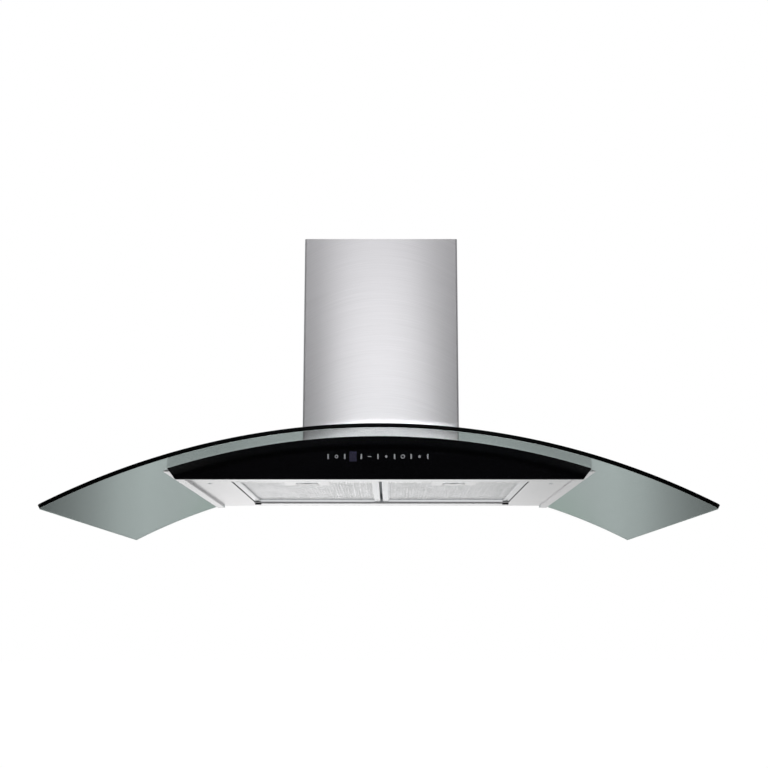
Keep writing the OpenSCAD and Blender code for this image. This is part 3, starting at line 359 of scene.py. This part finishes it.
def steel_rod(tree):
    """Drawn steel rod: smooth and bright with fine lines along it."""
    return worn(tree, srgb("#B8BBBE"), (12 * MM, 0.8 * MM, 0.8 * MM), shade=0.05,
                roughness=(0.18, 0.28), Metallic=1.0)


def bezel_chrome(tree):
    """Chromed zinc casting: nearly a mirror with a faint wave."""
    return worn(tree, srgb("#D4D6D9"), (8 * MM,) * 3, shade=0.02, roughness=(0.08, 0.14),
                bump=0.03, Metallic=1.0)


def lamp_lens(tree):
    """Opal polycarbonate diffuser: milky white, slightly ribbed, light soaks in."""
    return worn(tree, srgb("#F1F2EE"), (1.5 * MM,) * 3, shade=0.02, roughness=(0.3, 0.4),
                IOR=1.58, Subsurface_Weight=0.3, Subsurface_Scale=1.5 * MM)


def cast_aluminium(tree):
    """Die-cast aluminium: dull silver with a pebbled skin."""
    return worn(tree, srgb("#B0B3B5"), (1.8 * MM,) * 3, shade=0.07, roughness=(0.4, 0.55),
                bump=0.2, Metallic=1.0)


def motor_metal(tree):
    """Stove-enamelled motor shell: dark grey, satin, thin orange-peel."""
    return worn(tree, srgb("#4A4D50"), (3 * MM,) * 3, shade=0.08, roughness=(0.4, 0.55),
                bump=0.12, Metallic=0.6)


def black_rubber(tree):
    """EPDM rubber: matt black, faintly grainy."""
    return worn(tree, srgb("#1C1C1D"), (0.6 * MM,) * 3, shade=0.15, roughness=(0.65, 0.8), bump=0.2)


def black_plastic(tree):
    """Moulded ABS, black: fine spark texture, soft gloss."""
    return worn(tree, srgb("#232426"), (0.8 * MM,) * 3, shade=0.1, roughness=(0.4, 0.52), bump=0.2,
                IOR=1.54)


def grey_plastic(tree):
    """Moulded ABS, silver-grey: fine spark texture."""
    return worn(tree, srgb("#E9EAEC"), (0.8 * MM,) * 3, shade=0.05, roughness=(0.25, 0.35),
                bump=0.15, IOR=1.54)


def white_plastic(tree):
    """Moulded polyamide, natural white: matt with flow clouds."""
    return worn(tree, srgb("#E4E3DD"), (9 * MM,) * 3, shade=0.03, roughness=(0.42, 0.52), IOR=1.53)


def foam_tape(tree):
    """Closed-cell foam tape: dark grey, full of tiny cells."""
    return worn(tree, srgb("#4B4D4F"), (0.7 * MM,) * 3, shade=0.3, roughness=(0.85, 0.95), bump=0.4)


def circuit_board(tree):
    """Glass-fibre board under green solder lacquer: glossy, with lighter copper runs."""
    place = add(tree, "TexCoord").outputs["Object"]
    runs = add(tree, "TexBrick", {
        "Vector": place, "Scale": 1 / (6 * MM), "Mortar Size": 0.12,
        "Color1": srgb("#1E5A3A"), "Color2": srgb("#1A5234"), "Mortar": srgb("#3C7A50")})
    return add(tree, "BsdfPrincipled", {"Base Color": runs, "Roughness": 0.25, "IOR": 1.5})


FINISHES = {
    "tinted_glass": tinted_glass, "foam_tape": foam_tape, "plated_screws": plated_steel,
    "black_rubber": black_rubber, "black_glass": black_glass, "zinc_sheet": zinc_sheet,
    "white_print": white_print, "display": display_film, "circuit_board": circuit_board,
    "black_plastic": black_plastic, "satin_steel": satin_steel, "steel_rod": steel_rod,
    "white_plastic": white_plastic, "bezel_chrome": bezel_chrome, "lamp_lens": lamp_lens,
    "cast_aluminium": cast_aluminium, "motor_metal": motor_metal,
    "brushed_stainless": brushed_stainless, "filter_aluminium": filter_aluminium,
    "filter_mesh": mesh_aluminium, "grey_plastic": grey_plastic,
}


# ---- Shapes ----

def circle(middle, r, steps=48):
    """Points of a circle."""
    turns = [2 * math.pi * i / steps for i in range(steps)]
    return [(middle[0] + r * math.cos(t), middle[1] + r * math.sin(t)) for t in turns]


def rounded(low, high, r, steps=6):
    """Points of a rectangle with rounded corners."""
    corners = ((high[0] - r, high[1] - r, 0), (low[0] + r, high[1] - r, 1),
               (low[0] + r, low[1] + r, 2), (high[0] - r, low[1] + r, 3))
    points = []
    for a, b, quarter in corners:
        for i in range(steps + 1):
            turn = math.pi / 2 * (quarter + i / steps)
            points.append((a + r * math.cos(turn), b + r * math.sin(turn)))
    return points


def rectangle(low, high):
    """Corners of a rectangle."""
    return [(high[0], high[1]), (low[0], high[1]), (low[0], low[1]), (high[0], low[1])]


def prism(outline, holes, low, high):
    """Flat plate of the outline with its holes, from the height low to high."""
    form = bmesh.new()
    rims = []
    for loop in (outline, *holes):
        corners = [form.verts.new((a, b, low)) for a, b in loop]
        rims += [form.edges.new((corners[i - 1], corners[i])) for i in range(len(corners))]
    bmesh.ops.triangle_fill(form, edges=rims, use_beauty=True)
    lid = bmesh.ops.extrude_face_region(form, geom=form.faces[:])["geom"]
    raised = [v for v in lid if isinstance(v, bmesh.types.BMVert)]
    bmesh.ops.translate(form, verts=raised, vec=(0, 0, high - low))
    bmesh.ops.recalc_face_normals(form, faces=form.faces[:])
    return form


def round_edges(form, r, steps=2, least=30, shortest=0.0):
    """Rounds the edges that are sharper than the least angle in degrees and not too short."""
    sharp = [e for e in form.edges if e.is_manifold and e.calc_length() > shortest
             and e.calc_face_angle() > math.radians(least)]
    bmesh.ops.bevel(form, geom=sharp, offset=r, segments=steps, profile=0.5, affect="EDGES",
                    clamp_overlap=True)


def together(*forms):
    """One form out of several."""
    whole = bmesh.new()
    for form in forms:
        passing = bpy.data.meshes.new("passing")
        form.to_mesh(passing)
        form.free()
        whole.from_mesh(passing)
        bpy.data.meshes.remove(passing)
    return whole


def piece(name, form, body, finishes, stands_for=(), smooth=40):
    """Makes a piece of the form, shaded smooth below the given angle, that rides on the body."""
    mesh = bpy.data.meshes.new(name)
    form.to_mesh(mesh)
    form.free()
    for finish in finishes:
        mesh.materials.append(finish)
    mesh.shade_smooth()
    mesh.set_sharp_from_angle(angle=math.radians(smooth))
    made = bpy.data.objects.new(name, mesh)
    bpy.context.collection.objects.link(made)
    made.modifiers.new("flat_faces", "WEIGHTED_NORMAL").keep_sharp = True
    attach(made, body)
    if stands_for:
        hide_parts(*stands_for)


def arch():
    """Radius of the glass's top face and height of the bend's centre, from the glass's box."""
    low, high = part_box("glass_canopy")
    half, rise = high.x, high.z - low.z
    r = (rise ** 2 - GLASS_T ** 2 + half ** 2) / (2 * (rise - GLASS_T))
    return r, high.z - r


def washer_places():
    """Middle of each rubber washer under the glass, from the frame's washers."""
    washers = frame["nodes"]["glass_washers"].data
    places = []
    for side in (-1, 1):
        for row in (-1, 1):
            near = [v.co for v in washers.vertices if v.co.x * side > 0]
            middle_y = (min(v.y for v in near) + max(v.y for v in near)) / 2
            group = [v for v in near if (v.y - middle_y) * row > 0]
            places.append(((min(v.x for v in group) + max(v.x for v in group)) / 2,
                           (min(v.y for v in group) + max(v.y for v in group)) / 2))
    return places


def glass_canopy(finishes):
    """Bent glass with rounded front corners, ground edges, rear cut-out and screw holes. It is
    made flat and then bent. The front edge is black down to its lower chamfer, as painted shade;
    the chamfer is ground like the other edges."""
    low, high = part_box("glass_canopy")
    r, centre_z = arch()
    half = r * math.asin(high.x / r)
    notch = r * math.asin(NOTCH_HALF_W / r)
    corner, steps = GLASS_CORNER_R, GLASS_CORNER_STEPS
    front_left = [(-half + corner - corner * math.cos(t), low.y + corner - corner * math.sin(t))
                  for t in [math.pi / 2 * i / steps for i in range(steps + 1)]]
    front_right = [(-a, b) for a, b in reversed(front_left)]
    outline = [(-notch, 0), (-half, 0), *front_left, *front_right, (half, 0), (notch, 0),
               (notch, NOTCH_FRONT), (-notch, NOTCH_FRONT)]
    holes = [circle((r * math.asin(x / r), y), GLASS_HOLE_R) for x, y in washer_places()]
    form = prism(outline, holes, -GLASS_T, 0)
    strips = round(2 * half / GLASS_STRIP)
    for i in range(1, strips):
        place = (-half + 2 * half * i / strips, 0, 0)
        everything = form.verts[:] + form.edges[:] + form.faces[:]
        bmesh.ops.bisect_plane(form, geom=everything, plane_co=place, plane_no=(1, 0, 0))
    round_edges(form, GLASS_ARRIS, 1)
    form.normal_update()
    for face in form.faces:
        flat = abs(face.normal.z) > 0.99
        front = face.calc_center_median().y < low.y + 2 * GLASS_ARRIS
        below = face.normal.z < -0.3
        # index 2 is the black of the front edge, painted shade in place of the edge's dark look
        face.material_index = 0 if flat else 2 if front and not below else 1
    for v in form.verts:
        turn = v.co.x / r
        out = r + v.co.z
        v.co = Vector((out * math.sin(turn), v.co.y, centre_z + out * math.cos(turn)))
    piece("curved_glass", form, "hood",
          [finishes["tinted_glass"], material("ground_edge", ground_edge),
           material("painted_shade_edge", painted_shade_edge)], ["glass_canopy"], smooth=20)


def front_panel(finishes):
    """Black glass panel: flat bottom, slanted ends, top that follows the arch, rounded edges."""
    low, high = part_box("front_panel")
    r, centre_z = arch()
    top_r = r - GLASS_T - PANEL_TOP_GAP
    end = math.asin(high.x / top_r)
    curve = [(top_r * math.sin(t), centre_z + top_r * math.cos(t))
             for t in [end - 2 * end * i / PANEL_STEPS for i in range(PANEL_STEPS + 1)]]
    half = PANEL_BOTTOM_W / 2
    outline = [(-half, low.z), (half, low.z), *curve]
    form = prism(outline, (), -high.y, -low.y)
    round_edges(form, PANEL_EDGE_R, 3, least=20)
    form.transform(Matrix.Rotation(math.pi / 2, 4, "X"))
    piece("front_glass", form, "hood", [finishes["black_glass"]],
          ["front_panel"], smooth=30)


def underside(finishes):
    """Flat underside: sheet with the filter opening, its turned-up lips and two lamp holes, and
    two small screws in recesses beside the opening."""
    low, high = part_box("underside_panel")
    (x0, y0), (x1, y1) = OPENING
    lamp_low, lamp_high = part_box("lamp_can_right")
    lamp_x, lamp_y = (lamp_low.x + lamp_high.x) / 2, (lamp_low.y + lamp_high.y) / 2
    lamp_r = (lamp_high.x - lamp_low.x) / 2 + LAMP_GAP
    holes = [rectangle((x0, y0), (x1, y1))]
    holes += [circle((side * lamp_x, lamp_y), lamp_r) for side in (-1, 1)]
    recess_r = UNDERSIDE_SCREW_R + RECESS_GAP
    holes += [circle((side * UNDERSIDE_SCREW[0], UNDERSIDE_SCREW[1]), recess_r)
              for side in (-1, 1)]
    sheet = prism(rectangle((low.x, low.y), (high.x, high.y)), holes, low.z, low.z + SHEET_T)
    round_edges(sheet, FOLD_R, 2)
    lips = []
    for start, end in (((x0 - SHEET_T, y0 - SHEET_T), (x1 + SHEET_T, y0)),
                       ((x0 - SHEET_T, y1), (x1 + SHEET_T, y1 + SHEET_T)),
                       ((x0 - SHEET_T, y0), (x0, y1)), ((x1, y0), (x1 + SHEET_T, y1))):
        lip = prism(rectangle(start, end), (), low.z + FOLD_R, high.z)
        round_edges(lip, LIP_EDGE_R, 2)
        lips.append(lip)
    piece("underside_sheet", together(sheet, *lips), "hood",
          [finishes["satin_steel"]], ["underside_panel"])
    for side, word in ((-1, "left"), (1, "right")):
        screw = cross_screw(UNDERSIDE_SCREW_R, UNDERSIDE_SCREW_H)
        screw.transform(Matrix.Translation((side * UNDERSIDE_SCREW[0], UNDERSIDE_SCREW[1],
                                            low.z + SHEET_T)) @ Matrix.Rotation(math.pi, 4, "X"))
        piece("underside_screw_" + word, screw, "hood",
              [finishes["plated_screws"]])


def side_rails(finishes):
    """Flat rail along each side of the underside, which closes the arched top's rim below."""
    low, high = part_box("underside_panel")
    r, centre_z = arch()
    under_r = r - GLASS_T - PANEL_TOP_GAP - 2 * SHEET_T
    inner, outer = RAIL_X
    rails = []
    for side in (-1, 1):
        top = [inner + (outer - inner) * i / RAIL_STEPS for i in range(RAIL_STEPS + 1)]
        outline = [(side * x, centre_z + math.sqrt(under_r ** 2 - x ** 2)) for x in top]
        outline += [(side * outer, RAIL_Z), (side * inner, RAIL_Z)]
        rail = prism(outline, (), -high.y, -low.y)
        round_edges(rail, FOLD_R, 2, least=50)
        rail.transform(Matrix.Rotation(math.pi / 2, 4, "X"))
        rails.append(rail)
    piece("side_rails", together(*rails), "hood", [finishes["satin_steel"]])


def shadow_strip_and_feet(finishes):
    """Black rubber strip behind the opening, where the filters' rear edges rest; its black paints
    the shadow of the gap there. A foot at each end."""
    sheet_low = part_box("underside_panel")[0]
    (x0, _), (x1, y1) = OPENING
    front = y1 + SHEET_T
    # the strip's black is painted shadow of the gap; the feet at its ends are black parts
    bar = prism(rectangle((x0, front), (x1, front + REST_T)), (), sheet_low.z - REST_H,
                sheet_low.z)
    round_edges(bar, REST_EDGE_R, 2)
    feet = []
    for side in (-1, 1):
        ends = sorted((side * x1, side * (x1 - FOOT_W)))
        foot = prism(rounded((ends[0], front), (ends[1], front + FOOT_L), FOOT_CORNER_R), (),
                     sheet_low.z - FOOT_H, sheet_low.z)
        round_edges(foot, FOOT_EDGE_R, 2)
        feet.append(foot)
    piece("shadow_strip_and_feet", together(bar, *feet), "hood", [finishes["black_rubber"]])


def cross_screw(r, h):
    """Domed screw head with a cross recess, on the plane z = 0, pointing up."""
    dome = [(0.97, 0.0), (1.0, 0.12), (0.98, 0.4), (0.85, 0.75), (0.6, 0.95), (0.5, 1.0)]
    arm, slit, taper, depth = 0.42 * r, 0.1 * r, 0.7, 0.65 * h
    turns = 32
    form = bmesh.new()
    rings = []
    for out, up in dome:
        rings.append([form.verts.new((r * out * math.cos(2 * math.pi * i / turns),
                                      r * out * math.sin(2 * math.pi * i / turns), h * up))
                      for i in range(turns)])
    for lower, upper in zip(rings, rings[1:]):
        for i in range(turns):
            form.faces.new((lower[i - 1], lower[i], upper[i], upper[i - 1]))
    form.faces.new(list(reversed(rings[0])))
    cross = [(slit, slit), (slit, arm), (-slit, arm), (-slit, slit), (-arm, slit), (-arm, -slit),
             (-slit, -slit), (-slit, -arm), (slit, -arm), (slit, -slit), (arm, -slit), (arm, slit)]
    rim = [form.verts.new((a, b, h)) for a, b in cross]
    edges = [form.edges.new((rim[i - 1], rim[i])) for i in range(len(rim))]
    edges += [form.edges.get((rings[-1][i - 1], rings[-1][i])) for i in range(turns)]
    bmesh.ops.triangle_fill(form, edges=edges, use_beauty=True)
    bottom = [form.verts.new((a * taper, b * taper, h - depth)) for a, b in cross]
    for i in range(len(rim)):
        form.faces.new((rim[i - 1], rim[i], bottom[i], bottom[i - 1]))
    form.faces.new(bottom)
    bmesh.ops.recalc_face_normals(form, faces=form.faces[:])
    return form


def filter_frame(side, finishes):
    """Mitred frame of one filter, out of four rounded bars; the rear one slants inside."""
    node = f"filter_{side}_frame"
    low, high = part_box(node)
    inner_low = (low.x + FILTER_BORDER, low.y + FILTER_BORDER)
    inner_high = (high.x - FILTER_BORDER, high.y - FILTER_BORDER)
    outer = [(low.x, low.y), (high.x, low.y), (high.x, high.y), (low.x, high.y)]
    inner = [inner_low, (inner_high[0], inner_low[1]), inner_high, (inner_low[0], inner_high[1])]
    bars = []
    for i in range(4):
        corners = (outer[i - 1], outer[i], inner[i], inner[i - 1])
        bar = prism(corners, (), low.z, high.z)
        for v in bar.verts:
            if abs(v.co.y - inner_high[1]) < MITRE_GAP and v.co.z == low.z:
                v.co.y += FILTER_SLANT
        round_edges(bar, FILTER_EDGE_R, 3, shortest=3 * FILTER_BORDER)
        middle = sum((Vector((*p, 0)) for p in corners), Vector()) / 4
        shrink = 1 - MITRE_GAP / (high.y - low.y)
        bar.transform(Matrix.Translation(middle) @ Matrix.Diagonal((shrink, shrink, 1, 1))
                      @ Matrix.Translation(-middle))
        bars.append(bar)
    piece(f"filter_{side}_bars", together(*bars), f"filter_{side}",
          [finishes["filter_aluminium"]], [node])


def latch_pocket(side):
    """Test for a point in the pocket round one filter's latch, which the mesh leaves open."""
    cup_low, cup_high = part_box(f"filter_{side}_latch")
    left, right = cup_low.x - POCKET_GAP, cup_high.x + POCKET_GAP
    rear = cup_high.y + POCKET_GAP + LATCH_TRAVEL
    return lambda point: left < point.x < right and point.y < rear


def strand(form, a, b, half_w, half_t):
    """Flat bar from a to b."""
    along = (b - a).normalized()
    across = Vector((-along.y, along.x, 0)).normalized() * half_w
    up = Vector((0, 0, half_t))
    section = ((-1, -1), (1, -1), (1, 1), (-1, 1))
    corners = [[form.verts.new(p + across * s + up * t) for s, t in section] for p in (a, b)]
    for i in range(4):
        form.faces.new((corners[0][i - 1], corners[0][i], corners[1][i], corners[1][i - 1]))
    form.faces.new(corners[0])
    form.faces.new(list(reversed(corners[1])))


def filter_mesh(side, finishes):
    """Layers of stretched aluminium mesh in one filter, left open round the latch."""
    node = f"filter_{side}_mesh"
    low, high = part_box(node)
    in_pocket = latch_pocket(side)
    step_x, step_y = DIAMOND[0] / 2, DIAMOND[1] / 2
    columns = int((high.x - low.x) / step_x)
    rows = int((high.y - low.y) / step_y)
    half_w, half_t = STRAND[0] / 2, STRAND[1] / 2
    spread = high.z - low.z - 2 * (half_t + WAVE)
    form = bmesh.new()
    for layer in range(MESH_LAYERS):
        level = low.z + half_t + WAVE + spread * layer / (MESH_LAYERS - 1)
        for i in range(columns):
            for j in range(rows):
                rising = (i + j + layer) % 2 == 0
                a = Vector((low.x + i * step_x, low.y + (j if rising else j + 1) * step_y,
                            level + (WAVE if i % 2 else -WAVE)))
                b = Vector((low.x + (i + 1) * step_x, low.y + (j + 1 if rising else j) * step_y,
                            level + (-WAVE if i % 2 else WAVE)))
                if not in_pocket((a + b) / 2):
                    strand(form, a, b, half_w, half_t)
    piece(f"filter_{side}_strands", form, f"filter_{side}",
          [finishes["filter_mesh"]], [node])


def filter_core(side, finishes):
    """Crumpled inner layers of the mesh pack, seen between the strands as one bright wavy sheet."""
    low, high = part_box(f"filter_{side}_mesh")
    in_pocket = latch_pocket(side)
    columns = round((high.x - low.x) / CORE_STEP)
    rows = round((high.y - low.y) / CORE_STEP)
    form = bmesh.new()
    grid = []
    for i in range(columns + 1):
        x = low.x + (high.x - low.x) * i / columns
        grid.append([])
        for j in range(rows + 1):
            y = low.y + (high.y - low.y) * j / rows
            crumple = noise.noise((x / CORE_WAVE[0], y / CORE_WAVE[1], CORE_SLICE))
            level = low.z + CORE_DEPTH + CORE_RELIEF * crumple
            grid[-1].append(form.verts.new((x, y, level)))
    for i in range(columns):
        for j in range(rows):
            corners = (grid[i][j], grid[i][j + 1], grid[i + 1][j + 1], grid[i + 1][j])
            if not in_pocket(sum((v.co for v in corners), Vector()) / 4):
                form.faces.new(corners)
    bmesh.ops.delete(form, geom=[v for v in form.verts if not v.link_faces], context="VERTS")
    bmesh.ops.solidify(form, geom=form.faces[:], thickness=CORE_T)
    piece(f"filter_{side}_core", form, f"filter_{side}", [finishes["filter_mesh"]],
          smooth=60)


def filter_latch(side, finishes):
    """Latch plate with its window, and the sliding finger cup with its tongue. The window leaves
    room for the slide behind the cup, and its lower rear edge is sloped back."""
    plate_node, cup_node = f"filter_{side}_latch_plate", f"filter_{side}_latch"
    low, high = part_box(plate_node)
    cup_low, cup_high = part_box(cup_node)
    cup_front = cup_high.y - CUP_L
    middle = (cup_low.x + cup_high.x) / 2
    rear = cup_high.y + LATCH_TRAVEL + CUP_PLAY
    window = rounded((cup_low.x - CUP_PLAY, cup_front - CUP_PLAY), (cup_high.x + CUP_PLAY, rear),
                     CUP_CORNER_R)
    plate = prism(rounded((low.x, low.y), (high.x, high.y), PLATE_CORNER_R), [window],
                  low.z, high.z)
    reach = cup_high.x - middle + 2 * CUP_PLAY
    for v in plate.verts:
        past = v.co.y - (rear - CUP_CORNER_R)
        on_window = abs(v.co.x - middle) <= reach and 0 < past < CUP_CORNER_R + CUP_PLAY
        if on_window and v.co.z == low.z:
            v.co.y += WINDOW_SLOPE * past / CUP_CORNER_R
    round_edges(plate, PLATE_EDGE_R, 2)
    piece(f"filter_{side}_plate", plate, f"filter_{side}",
          [finishes["satin_steel"]], [plate_node])
    outline = rounded((cup_low.x, cup_front), (cup_high.x, cup_high.y), CUP_CORNER_R)
    mouth_y = (cup_front + cup_high.y) / 2
    mouth = [(middle + CUP_MOUTH[0] * a, mouth_y + CUP_MOUTH[1] * b) for a, b in circle((0, 0), 1)]
    ring = prism(outline, [mouth], cup_low.z, cup_high.z - CUP_ROOF)
    round_edges(ring, CUP_EDGE_R, 3)
    roof = prism(outline, (), cup_high.z - CUP_ROOF, cup_high.z)
    round_edges(roof, TONGUE_EDGE_R, 2)
    tongue_z = cup_low.z + TONGUE_RISE
    tongue_x = (middle - TONGUE_W / 2, middle + TONGUE_W / 2)
    tongue = prism(rectangle((tongue_x[0], cup_low.y), (tongue_x[1], cup_front)), (),
                   tongue_z, tongue_z + TONGUE_T)
    round_edges(tongue, TONGUE_EDGE_R, 2)
    piece(f"filter_{side}_finger_cup", together(ring, roof, tongue), f"latch_{side}",
          [finishes["grey_plastic"]], [cup_node])


def dress_nodes(finishes):
    """Gives each CAD node that stays the finish of its slot, smooth across its curves."""
    slots = {row["node"]: row["material_slot"] for row in frame["record"]["subparts"]}
    for name, node in frame["nodes"].items():
        finish = finishes[slots[name]]
        node.data.materials.clear()
        node.data.materials.append(finish)
        node.data.shade_smooth()
        node.data.set_sharp_from_angle(angle=math.radians(NODE_SMOOTH))


# ---- Studio ----

def lamp(name, kind, place, aim, power, **settings):
    """Lamp that faces a point, with its power in watts."""
    data = bpy.data.lights.new(name, kind)
    data.energy = power
    for setting, value in settings.items():
        setattr(data, setting, value)
    made = bpy.data.objects.new(name, data)
    made.location = place
    made.rotation_euler = (Vector(aim) - Vector(place)).to_track_quat("-Z", "Y").to_euler()
    bpy.context.collection.objects.link(made)


# Brightness of the studio over a ray's height, from 0 straight down to 1 straight up.
# Behind the hood: pale floor, grey-green wall, lighter wall above the horizon.
WALL = ((0.0, grey(1.0)), (0.26, grey(0.9)), (0.315, tinted(0.21)), (0.354, tinted(0.25)),
        (0.385, tinted(0.28)), (0.4, greener(0.27)), (0.41, greener(0.27)), (0.42, grey(0.3)),
        (0.495, grey(0.3)), (0.505, tinted(0.65)), (0.6, tinted(0.65)), (0.75, grey(0.7)),
        (1.0, grey(0.8)))

# Behind the camera: pale floor, dark room, a pale band over it
ROOM = ((0.0, grey(1.0)), (0.3, grey(0.8)), (0.36, grey(0.45)), (0.385, grey(0.07)),
        (0.48, grey(0.04)), (0.54, grey(0.01)), (0.605, grey(0.01)), (0.625, grey(0.66)),
        (0.67, grey(0.42)), (0.75, grey(0.3)), (1.0, grey(0.6)))

# White sweep low on the wall, which the underside and the mesh mirror
SWEEP = ((0.408, rosy(0.0)), (0.422, rosy(1.0)), (0.492, rosy(1.0)), (0.503, rosy(0.0)))

# How the wall darkens to both sides, over a ray's sideways part
SIDES = ((0.0, grey(1.0)), (0.1, grey(1.0)), (0.17, grey(0.78)), (0.21, grey(0.8)),
         (0.235, grey(0.85)), (0.26, grey(0.7)), (0.285, grey(0.41)), (0.305, grey(0.24)),
         (0.33, grey(0.1)), (0.36, grey(0.06)), (0.5, grey(0.5)), (0.8, grey(0.9)))

# The sweep dims from left to right, over this sideways part of a ray
SWEEP_REACH = 0.17
SWEEP_STRENGTH = (1.62, 1.0)

# Middle of the wall, and the part of a ray towards it over which the room turns into the wall
WALL_MIDDLE = -0.009
WALL_TURN = 0.2


def make_world():
    """White to the camera. Glass, metal and matt surfaces see the studio: a grey-green wall behind
    the hood with a white sweep at its foot, darker to the sides, and a dark room behind the
    camera, between a pale floor and a pale band."""
    world = bpy.data.worlds.new("studio")
    bpy.context.scene.world = world
    world.use_nodes = True
    tree = world.node_tree
    tree.nodes.clear()
    ray = add(tree, "SeparateXYZ", {"Vector": add(tree, "TexCoord").outputs["Generated"]})
    across, inward = ray.outputs["X"], ray.outputs["Y"]
    height = add(tree, "MapRange", {
        "Value": ray.outputs["Z"], "From Min": -1.0, "From Max": 1.0})
    wall = add(tree, "ValToRGB", {"Fac": height}, stops=WALL)
    room = add(tree, "ValToRGB", {"Fac": height}, stops=ROOM)
    low = add(tree, "ValToRGB", {"Fac": height}, stops=SWEEP)
    slant = add(tree, "MapRange", {
        "Value": across, "From Min": -SWEEP_REACH, "From Max": SWEEP_REACH,
        "To Min": SWEEP_STRENGTH[0], "To Max": SWEEP_STRENGTH[1]})
    sweep = add(tree, "MixRGB", {"Fac": 1.0, "Color1": low, "Color2": slant},
                blend_type="MULTIPLY")
    lit_wall = add(tree, "MixRGB", {"Fac": 1.0, "Color1": wall, "Color2": sweep},
                   blend_type="ADD")
    shifted = add(tree, "Math", {0: across, 1: -WALL_MIDDLE}, operation="ADD")
    aside = add(tree, "Math", {0: shifted}, operation="ABSOLUTE")
    dim = add(tree, "ValToRGB", {"Fac": aside}, stops=SIDES)
    sided = add(tree, "MixRGB", {"Fac": 1.0, "Color1": lit_wall, "Color2": dim},
                blend_type="MULTIPLY")
    facing = add(tree, "MapRange", {
        "Value": inward, "From Min": -WALL_TURN, "From Max": WALL_TURN})
    around = add(tree, "MixRGB", {"Fac": facing, "Color1": room, "Color2": sided})
    seen = add(tree, "LightPath").outputs["Is Camera Ray"]
    shown = add(tree, "MixRGB", {"Fac": seen, "Color1": around, "Color2": grey(1.0)})
    lit = add(tree, "Background", {"Color": shown, "Strength": 1.0})
    add(tree, "OutputWorld", {"Surface": lit})


def floor_white(tree):
    """Matt white floor paper, shown white to the camera with the hood's shadow left in."""
    paper = add(tree, "BsdfDiffuse", {"Color": grey(FLOOR_TONE)})
    glow = add(tree, "Emission", {"Color": grey(1.0), "Strength": FLOOR_GLOW})
    seen = add(tree, "LightPath").outputs["Is Camera Ray"]
    share = add(tree, "Math", {0: seen, 1: FLOOR_GLOW_SHARE}, operation="MULTIPLY")
    return add(tree, "MixShader", {0: share, 1: paper, 2: glow})


def make_floor():
    """Floor paper below the hood, left out of what glass and metal mirror."""
    form = bmesh.new()
    bmesh.ops.create_grid(form, x_segments=1, y_segments=1, size=FLOOR_SIZE / 2)
    mesh = bpy.data.meshes.new("floor")
    form.to_mesh(mesh)
    form.free()
    mesh.materials.append(material("floor_paper", floor_white))
    made = bpy.data.objects.new("floor", mesh)
    made.location.z = FLOOR_Z
    made.visible_glossy = False
    made.visible_transmission = False
    bpy.context.collection.objects.link(made)


def make_lamps():
    """Two softboxes one above the other that the chimney cover mirrors, a large one overhead for
    matt surfaces, and a row of spots that draw the bright arc at the chimney's foot."""
    lamp("upper_softbox", "AREA", (-0.028, LAMP_Y, 0.52), (-0.028, 0, 0.52), 0.43,
         shape="RECTANGLE", size=0.25, size_y=0.42)
    lamp("lower_softbox", "AREA", (-0.002, LAMP_Y, 0.2), (-0.002, 0, 0.2), 0.68,
         shape="RECTANGLE", size=0.29, size_y=0.2)
    lamp("overhead_front", "AREA", (0, -1.8, 2.0), (0, -0.3, 0), 7,
         shape="RECTANGLE", size=2.0, size_y=1.0)
    for i in range(SPOTS):
        from_middle = i - SPOTS // 2
        place = (SPOT_MIDDLE_X + SPOT_STEP * from_middle, LAMP_Y, SPOT_Z)
        lamp(f"chimney_foot_{i}", "SPOT", place, SPOT_AIM,
             SPOT_POWER + SPOT_POWER_STEP * abs(from_middle),
             spot_size=SPOT_ANGLE, spot_blend=0.03, shadow_soft_size=0.01)


make_camera()
make_world()
make_floor()
make_lamps()

finishes = {slot: material(slot, fill) for slot, fill in FINISHES.items()}
glass_canopy(finishes)
front_panel(finishes)
underside(finishes)
side_rails(finishes)
shadow_strip_and_feet(finishes)
for side in ("left", "right"):
    filter_frame(side, finishes)
    filter_mesh(side, finishes)
    filter_core(side, finishes)
    filter_latch(side, finishes)
dress_nodes(finishes)
